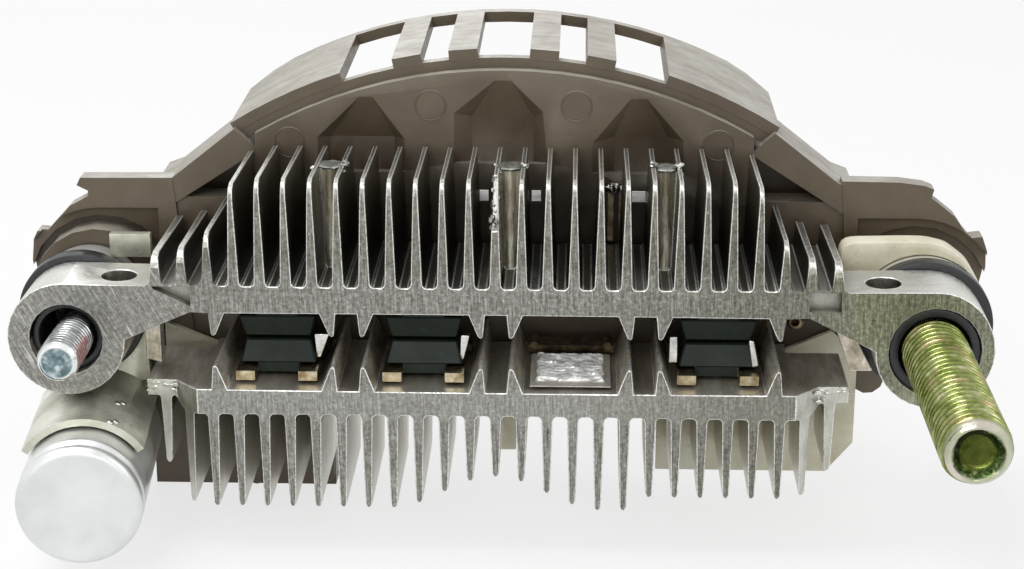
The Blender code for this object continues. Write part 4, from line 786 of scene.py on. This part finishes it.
def solder_bed(material):
    """Wrinkled solder on the empty cell's seat, with its rounded border left thin."""
    low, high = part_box("solder_pad")
    across, along = SOLDER_STEPS
    bm = bmesh.new()
    rows = []
    for j in range(along + 1):
        row = []
        for i in range(across + 1):
            x = low.x + (high.x - low.x) * i / across
            y = low.y + (high.y - low.y) * j / along
            reach_x = min(x - low.x, high.x - x)
            reach_y = min(y - low.y, high.y - y)
            wander = 0.00045 * noise.noise(Vector((x * 700, y * 700, 3.0)))
            border = 0.0011 if y < (low.y + high.y) / 2 else 0.0004
            inside = min(reach_x - 0.0006, reach_y - border) + wander
            rise = min(1.0, max(0.0, inside / 0.0005))
            rise = rise * rise * (3 - 2 * rise)
            drift = 0.9 * noise.noise(Vector((x * 500, y * 500, 1.0)))
            ripple = noise.noise(Vector((x * 480, y * 1500 + drift, 0.0)))
            fine = noise.noise(Vector((x * 1900, y * 3300, 7.0)))
            z = low.z + 0.00012 + rise * (0.00026 + 0.00024 * (1 - abs(ripple) * 2.6) + 0.00004 * fine)
            row.append(bm.verts.new((x, y, z)))
        rows.append(row)
    for j in range(along):
        for i in range(across):
            bm.faces.new((rows[j][i], rows[j][i + 1], rows[j + 1][i + 1], rows[j + 1][i]))
    skirt = bmesh.ops.extrude_edge_only(bm, edges=open_edges(bm))
    for made in skirt["geom"]:
        if isinstance(made, bmesh.types.BMVert):
            made.co.z = low.z
    bmesh.ops.holes_fill(bm, edges=open_edges(bm))
    piece("solder_bed", bm, material, ("solder_pad",), 60.0)


def plate(bm, outline, front, depth):
    """Adds a thin plate: a flat x-z outline in millimetres, taken back from front by depth."""
    near, far = ([bm.verts.new((x / MM_PER_METRE, y, z / MM_PER_METRE)) for x, z in outline]
                 for y in (front, front + depth))
    bm.faces.new(near)
    bm.faces.new(list(reversed(far)))
    for i in range(len(outline)):
        after = (i + 1) % len(outline)
        bm.faces.new((near[i], far[i], far[after], near[after]))


def soften(made, width, segments=2, degrees=30.0):
    """Rounds the sharp edges of a piece."""
    rim = made.modifiers.new("edges", "BEVEL")
    rim.width = width
    rim.segments = segments
    rim.limit_method = "ANGLE"
    rim.angle_limit = math.radians(degrees)
    return made


def diode_leads(material):
    """Bright bent lead strips beside the diodes."""
    bm = bmesh.new()
    strips = [(0.0050, [(20.72, -0.66), (21.62, -0.65), (21.70, -4.03), (20.60, -4.05)]),
              (0.0043, [(30.25, -0.81), (30.85, -0.80), (31.55, -4.05), (30.75, -4.32)]),
              (0.0052, [(-4.75, -0.84), (-3.70, -0.83), (-3.92, -2.00), (-4.42, -3.97), (-4.95, -4.05)]),
              (0.0056, [(-22.75, -1.00), (-20.95, -1.00), (-22.00, -4.05), (-22.60, -4.10)])]
    for front, outline in strips:
        plate(bm, outline, front, LEAD_DEPTH)
    soften(piece("diode_leads", bm, material), 0.00010)


def reaches(points, steps):
    """How far the closed outline lies from the middle in each direction round a turn, with eased corners."""
    found = []
    for turn in turns(steps):
        way = Vector((math.cos(turn), math.sin(turn)))
        reach = 0.0
        for first, second in zip(points, points[1:] + points[:1]):
            side = second - first
            cross = way.x * side.y - way.y * side.x
            if abs(cross) < 1e-12:
                continue
            out = (first.x * side.y - first.y * side.x) / cross
            share = (first.x * way.y - first.y * way.x) / cross
            if out > 0 and -1e-6 <= share <= 1 + 1e-6:
                reach = max(reach, out)
        found.append(reach)
    for _ in range(3):
        found = [(found[k - 1] + 2 * found[k] + found[(k + 1) % steps]) / 4 for k in range(steps)]
    return found


def collar(material):
    """The cream insulator: a flange with a curved rim, a ring recess at the front and a boss behind."""
    low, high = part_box("right_collar")
    corners = [(-10.3, 4.5), (-10.3, 9.1), (-9.8, 9.6), (-6.0, 9.7), (-2.8, 9.8), (0.2, 9.8), (2.8, 9.2),
               (5.4, 7.2), (6.9, 4.7), (7.9, 1.7), (7.5, -2.5), (4.9, -6.5), (0.9, -8.3), (-4.1, -7.5),
               (-7.1, -3.5), (-8.1, 0.5)]
    rim = reaches([Vector(corner) / MM_PER_METRE for corner in corners], COLLAR_STEPS)
    front = low.y
    back = front + 0.0030
    recess = front + 0.0020
    sections = [("rim", -0.0005, back), ("rim", 0.0, back - 0.0004), ("rim", 0.0, front + 0.0005),
                ("rim", -0.0002, front + 0.0001), ("rim", -0.0006, front), ("inside", 0.0088, front),
                ("inside", 0.0081, front + 0.0002), ("inside", 0.0081, recess), ("ring", 0.0046, recess),
                ("ring", 0.0046, high.y), ("ring", 0.0076, high.y), ("ring", 0.0076, back)]
    bm = bmesh.new()
    rows = []
    for kind, size, y in sections:
        row = []
        for turn, edge in zip(turns(COLLAR_STEPS), rim):
            reach = {"rim": edge + size, "inside": min(size, edge - 0.0003), "ring": size}[kind]
            row.append(bm.verts.new(circle_point(OUTPUT_TIP, reach, turn, y)))
        rows.append(row)
    fill_bands(bm, rows, closed=True)
    piece("collar_moulding", bm, material, ("right_collar",), 36.0)


def ejector_marks(material):
    """Round marks of the mould's ejector pins on the web: a fine bead round a slightly raised disc."""
    bm = bmesh.new()
    for x, z in ((-0.0091, 0.0245), (0.0091, 0.0245), (-0.0268, 0.0196), (0.0268, 0.0196)):
        centre = Vector((x, 0.0, z))
        outline = [(0.0, -0.00003), (0.00172, -0.00003), (0.00178, 0.00002), (0.00184, 0.00002),
                   (0.00188, -0.00009), (0.00195, -0.00009), (0.00201, 0.00004), (0.0, 0.00004)]
        revolve(bm, [(radius, WEB_FRONT + away) for radius, away in outline], centre, MARK_STEPS)
    piece("ejector_marks", bm, material, degrees=30.0)


def capacitor_shell(material):
    """The drawn can: rounded front, rolled groove, straight side and a rim turned in at the back."""
    r = CAN_RADIUS
    front = [(0.0, 0.00016), (r * 0.50, 0.00014), (r * 0.80, 0.00004), (r - 0.00110, 0.0)]
    corner = [(r - CAN_CORNER + CAN_CORNER * math.sin(angle), CAN_CORNER - CAN_CORNER * math.cos(angle))
              for angle in (math.radians(10 * k) for k in range(10))]
    groove = [(r, 0.00125), (r - 0.00008, 0.00150), (r - 0.00036, 0.00185), (r - 0.00052, 0.00215),
              (r - 0.00042, 0.00240), (r - 0.00010, 0.00270), (r + 0.00003, 0.00295), (r, 0.00330)]
    back = [(r, 0.0240), (r - 0.00012, 0.0246), (r - 0.00045, 0.0249), (r - 0.00080, 0.0249),
            (r - 0.00092, 0.0247), (r - 0.00092, 0.0228), (0.0, 0.0228)]
    bm = bmesh.new()
    revolve(bm, front + corner + groove + back, Vector((0.0, 0.0, 0.0)), CAN_STEPS)
    bm.transform(Matrix.Translation(CAN_FRONT) @ Matrix.Rotation(CAN_YAW, 4, "Z"))
    piece("capacitor_shell", bm, material, ("capacitor_can",), 34.0)


def weld_marks(material):
    """Raised weld spots where the bracket's saddle holds the can."""
    bm = bmesh.new()
    axis = Matrix.Rotation(CAN_YAW, 3, "Z") @ Vector((0.0, 1.0, 0.0))
    side = Matrix.Rotation(CAN_YAW, 3, "Z") @ Vector((1.0, 0.0, 0.0))
    for along, degrees in ((0.0130, 24.7), (0.0137, 28.5), (0.0068, 23.0), (0.0075, 27.5)):
        turn = math.radians(degrees)
        out = side * math.sin(turn) + Vector((0.0, 0.0, math.cos(turn)))
        centre = CAN_FRONT + axis * along + out * (CAN_RADIUS + 0.00118)
        made = bmesh.ops.create_icosphere(bm, subdivisions=3, radius=0.00046)
        flat = out.to_track_quat("Z", "Y").to_matrix().to_4x4()
        squash = Matrix.Diagonal((1.0, 1.0, 0.55, 1.0))
        bmesh.ops.transform(bm, matrix=Matrix.Translation(centre) @ flat @ squash, verts=made["verts"])
    piece("weld_marks", bm, material, degrees=60.0)


def hook_solder(material):
    """Solder blob on the hooked clip's bend."""
    bm = bmesh.new()
    blobs = [(13.45, 18.4, 14.0, 0.72), (14.75, 18.4, 14.0, 0.68), (14.1, 18.3, 14.3, 0.75)]
    lumps(bm, blobs, (1.0, 0.7, 0.85), 0.5)
    piece("hook_solder", bm, material, degrees=60.0)


def rear_posts(brown, cream):
    """Moulded post and tab behind the lower left fins, and the cream tab near the middle."""
    bm = bmesh.new()
    post = [(-24.7, -12.0), (-22.1, -12.0), (-22.3, -26.0), (-22.9, -26.6), (-24.2, -26.6), (-24.8, -26.0)]
    plate(bm, post, WEB_FRONT - 0.0005, POST_DEPTH)
    hanging = [(-33.3, -24.0), (-31.8, -24.0), (-31.9, -26.6), (-32.3, -27.1), (-33.0, -27.1), (-33.4, -26.6)]
    plate(bm, hanging, WEB_FRONT - 0.0004, POST_DEPTH)
    soften(piece("rear_posts", bm, brown), 0.00035, 3)
    bm = bmesh.new()
    plate(bm, [(-0.48, -8.0), (1.60, -8.0), (1.60, -21.6), (-0.48, -21.6)], 0.0184, 0.0010)
    soften(piece("cream_tab", bm, cream), 0.00015)


def on_post(centre):
    """True for the faces of the round bosses between the fins."""
    near = any((centre.xy - top.xy).length < BOSS_REACH for top in BOSS_TOPS)
    return near and centre.z > BOSS_FOOT


def in_pocket(line):
    """True for the edges of the two cast pockets where the ears meet the bar."""
    return all(POCKET_X[0] < abs(vert.co.x) < POCKET_X[1] and POCKET_Z[0] < vert.co.z < POCKET_Z[1]
               and vert.co.y < POCKET_BACK for vert in line.verts)


def thin_tops(bm):
    """Draws the upper fins in towards their tops, as the cast ones are."""
    for vert in bm.verts:
        index = round((vert.co.x - SINK_MIDDLE_X) / FIN_PITCH)
        middle = index * FIN_PITCH + SINK_MIDDLE_X
        beside = abs(index) > FINS_PER_SIDE or abs(vert.co.x - middle) > FIN_HALF_WIDTH
        if beside or vert.co.z < FIN_ROOT + 0.0001:
            continue
        share = min(1.0, (vert.co.z - FIN_ROOT) / (FIN_TOP - FIN_ROOT))
        if abs(index) > TALL_FINS_PER_SIDE:
            share = min(1.0, share * SHORT_FIN_HASTE)
        vert.co.x = middle + (vert.co.x - middle) * (1.0 - FIN_THINNING * share)


def copied(node, name, material, round_off, edge=None, marked=None, mark=None, change=None,
           plain=None):
    """A shown copy of a CAD node with its flat faces merged and its sharp edges rounded.

    edge is the material of the rounding, marked the one of the faces that mark picks, change reshapes the
    mesh first and plain picks the edges that stay sharp.
    """
    source = bpy.data.objects[node]
    bm = bmesh.new()
    bm.from_mesh(source.data)
    bmesh.ops.remove_doubles(bm, verts=bm.verts, dist=MERGE)
    bmesh.ops.dissolve_limit(bm, angle_limit=math.radians(FLAT_DEGREES), verts=bm.verts, edges=bm.edges)
    if change is not None:
        change(bm)
    if plain is not None:
        bm.normal_update()
        weight = bm.edges.layers.float.new("bevel_weight_edge")
        for line in bm.edges:
            if line.calc_face_angle(0.0) > math.radians(EDGE_DEGREES) and not plain(line):
                line[weight] = 1.0
    for face in bm.faces:
        if mark is not None and mark(face.calc_center_median()):
            face.material_index = 2
    made = soften(piece(name, bm, material, (node,), EDGE_DEGREES), round_off, 2, EDGE_DEGREES)
    rim = made.modifiers["edges"]
    if plain is not None:
        rim.limit_method = "WEIGHT"
        rim.use_clamp_overlap = False
    if edge is not None:
        made.data.materials.append(edge)
        rim.material = 1
    if marked is not None:
        made.data.materials.append(marked)


def build_camera():
    """The camera at its fitted place, turned by its fitted angles."""
    forward = Vector((-math.sin(CAMERA_AZIMUTH) * math.cos(CAMERA_ELEVATION),
                      math.cos(CAMERA_AZIMUTH) * math.cos(CAMERA_ELEVATION), -math.sin(CAMERA_ELEVATION)))
    right = Vector((math.cos(CAMERA_AZIMUTH), math.sin(CAMERA_AZIMUTH), 0.0))
    up = right.cross(forward)
    data = bpy.data.cameras.new("camera")
    data.sensor_width = CAMERA_SENSOR
    data.lens = CAMERA_LENS
    data.clip_start = 0.01
    made = bpy.data.objects.new("camera", data)
    bpy.context.scene.collection.objects.link(made)
    placed = Matrix((right, up, -forward)).transposed().to_4x4()
    placed.translation = CAMERA_PLACE
    made.matrix_world = placed
    bpy.context.scene.camera = made


def area_lamp(name, place, size, watts, target=LAMP_TARGET):
    data = bpy.data.lights.new(name, "AREA")
    data.shape = "RECTANGLE"
    data.size, data.size_y = size
    data.energy = watts
    made = bpy.data.objects.new(name, data)
    bpy.context.scene.collection.objects.link(made)
    made.location = place
    made.rotation_euler = (target - Vector(place)).to_track_quat("-Z", "Y").to_euler()


def seen_rays(tree):
    """1 where the ray comes from the camera, a reflection or a transmission."""
    path = tree.nodes.new("ShaderNodeLightPath")
    total = path.outputs["Is Camera Ray"]
    for name in ("Is Glossy Ray", "Is Transmission Ray"):
        join = tree.nodes.new("ShaderNodeMath")
        join.operation = "MAXIMUM"
        tree.links.new(total, join.inputs[0])
        tree.links.new(path.outputs[name], join.inputs[1])
        total = join.outputs[0]
    return total


def build_world():
    """White surroundings that look brighter than they light."""
    world = bpy.data.worlds.new("studio")
    bpy.context.scene.world = world
    world.use_nodes = True
    tree = world.node_tree
    background = tree.nodes["Background"]
    background.inputs["Color"].default_value = (1.0, 1.0, 1.0, 1.0)
    strength = tree.nodes.new("ShaderNodeMapRange")
    tree.links.new(seen_rays(tree), strength.inputs["Value"])
    strength.inputs["To Min"].default_value = WORLD_ON_SURFACES
    strength.inputs["To Max"].default_value = WORLD_SEEN
    tree.links.new(strength.outputs[0], background.inputs["Strength"])


def build_floor(height):
    """A pale floor with a soft glow of its own."""
    bm = bmesh.new()
    bm.faces.new([bm.verts.new((x * FLOOR_HALF_SIZE, y * FLOOR_HALF_SIZE, height))
                  for x, y in ((-1, -1), (1, -1), (1, 1), (-1, 1))])
    mesh = bpy.data.meshes.new("floor")
    bm.to_mesh(mesh)
    bm.free()
    floor = bpy.data.objects.new("floor", mesh)
    bpy.context.scene.collection.objects.link(floor)
    material = bpy.data.materials.new("floor")
    material.use_nodes = True
    tree = material.node_tree
    bsdf = tree.nodes["Principled BSDF"]
    bsdf.inputs["Base Color"].default_value = (FLOOR_GREY, FLOOR_GREY, FLOOR_GREY, 1.0)
    bsdf.inputs["Roughness"].default_value = 0.9
    bsdf.inputs["Specular IOR Level"].default_value = 0.1
    glow = tree.nodes.new("ShaderNodeEmission")
    blend = tree.nodes.new("ShaderNodeMixShader")
    share = tree.nodes.new("ShaderNodeMath")
    share.operation = "MULTIPLY"
    tree.links.new(seen_rays(tree), share.inputs[0])
    share.inputs[1].default_value = FLOOR_GLOW
    tree.links.new(share.outputs[0], blend.inputs[0])
    tree.links.new(bsdf.outputs[0], blend.inputs[1])
    tree.links.new(glow.outputs[0], blend.inputs[2])
    tree.links.new(blend.outputs[0], tree.nodes["Material Output"].inputs["Surface"])
    floor.data.materials.append(material)


def paint(material, *nodes):
    """Gives the solids' own meshes a material."""
    for node in nodes:
        held = bpy.data.objects[node].data
        held.materials.clear()
        held.materials.append(material)


clear_scene()
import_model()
random.seed(SEED)
cad_low, cad_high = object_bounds()

aluminium = cast_aluminium()
edge_metal_and_highlight = bright_edge()
post_metal = post_skin()
brown = brown_moulding()
# A lighter copy of the moulding for its rounded edges: a painted edge highlight.
brown_edge_highlight = brown_moulding("brown_edge_highlight", 1.45)
cream = cream_moulding()
diode_black = black_plastic("black_moulding", (0.003, 0.008, 0.004), 0.46, 0.01, 0.30)
ring_black = black_plastic("black_insulator", (0.014, 0.015, 0.016), 0.34, 0.05)
seal_black = black_plastic("seal", (0.018, 0.018, 0.018), 0.60)
bright = plain_metal("bright_metal", (0.64, 0.66, 0.65), (0.74, 0.76, 0.75), (0.80, 0.82, 0.81),
                     0.34, 110.0, recess=0.85, sheen=0.75)
plated = plain_metal("plated_steel", (0.40, 0.39, 0.31), (0.62, 0.615, 0.52), (0.80, 0.80, 0.72),
                     0.32, 170.0, recess=0.80, sheen=0.55)
flash_metal = plain_metal("flash_metal", (0.17, 0.175, 0.155), (0.33, 0.335, 0.31), (0.62, 0.62, 0.585),
                          0.38, 900.0)
tinned = plain_metal("tinned_brass", (0.20, 0.15, 0.075), (0.46, 0.38, 0.24), (0.74, 0.69, 0.55),
                     0.32, 620.0)
lead_metal = plain_metal("lead_metal", (0.45, 0.45, 0.42), (0.70, 0.70, 0.67), (0.86, 0.86, 0.84),
                         0.26, 500.0)
stained = plain_metal("stained_brass", (0.05, 0.035, 0.020), (0.14, 0.105, 0.06), (0.34, 0.28, 0.18),
                      0.38, 600.0)
solder = solder_metal()
chromate = yellow_zinc(OUTPUT_TIP)
zinc = bright_zinc(FIXING_TIP)

copied("upper_heat_sink", "upper_heat_sink_casting", aluminium, CASTING_EDGE,
       edge=edge_metal_and_highlight, marked=post_metal, mark=on_post, change=thin_tops, plain=in_pocket)
copied("lower_heat_sink", "lower_heat_sink_casting", aluminium, CASTING_EDGE,
       edge=edge_metal_and_highlight)
copied("housing", "housing_moulding", brown, MOULDING_EDGE, edge=brown_edge_highlight)
copied("capacitor_bracket", "capacitor_bracket_sheet", plated, SHEET_EDGE)
paint(cream, "rear_insulator", "left_insulator")
paint(plated, "left_terminal")
paint(stained, "rivet")
paint(tinned, "hook_terminal")
paint(seal_black, "capacitor_seal")
for number in (1, 2, 3, 4):
    paint(stained, "phase_conductor_%d" % number)
for level in ("lower", "upper"):
    for number in (1, 2, 4):
        paint(tinned, "%s_diode_%d_base" % (level, number))
        paint(diode_black, "%s_diode_%d_body" % (level, number))

for node, bore in (("left_bush", 0.0035), ("right_bush", 0.0043), ("left_washer", 0.0038),
                   ("right_washer", 0.0046)):
    ring_piece(node + "_ring", node, ring_black, bore)
for node, bore in (("left_spacer", 0.0038), ("right_spacer", 0.0046)):
    ring_piece(node + "_ring", node, bright, bore)
threaded("output_stud_thread", "output_stud", chromate, "yellow_zinc", dent=cup, **OUTPUT_THREAD)
threaded("fixing_stud_thread", "fixing_stud", zinc, "bright_zinc", dent=shallow, **FIXING_THREAD)
casting_flash(flash_metal)
end_flash(aluminium)
solder_bed(solder)
diode_leads(lead_metal)
collar(cream)
ejector_marks(brown)
capacitor_shell(bright)
weld_marks(lead_metal)
hook_solder(lead_metal)
rear_posts(brown, cream)

build_camera()
build_world()
area_lamp("top_softbox", (-0.22, 0.02, 0.62), (0.26, 0.34), 2.2)
area_lamp("front_softbox", (-0.20, -0.66, 0.46), (0.22, 0.30), 1.7)
area_lamp("right_softbox", (0.60, -0.30, 0.35), (0.30, 0.40), 0.7)
area_lamp("low_softbox", (0.02, -0.75, 0.11), (0.60, 0.12), 0.5, Vector((0.0, 0.0, -0.004)))
area_lamp("back_softbox", (-0.10, 0.76, 0.31), (0.28, 0.22), 0.5, Vector((0.04, 0.0, 0.0)))
build_floor(cad_low.z - FLOOR_GAP)

bpy.context.scene.view_settings.view_transform = "Standard"
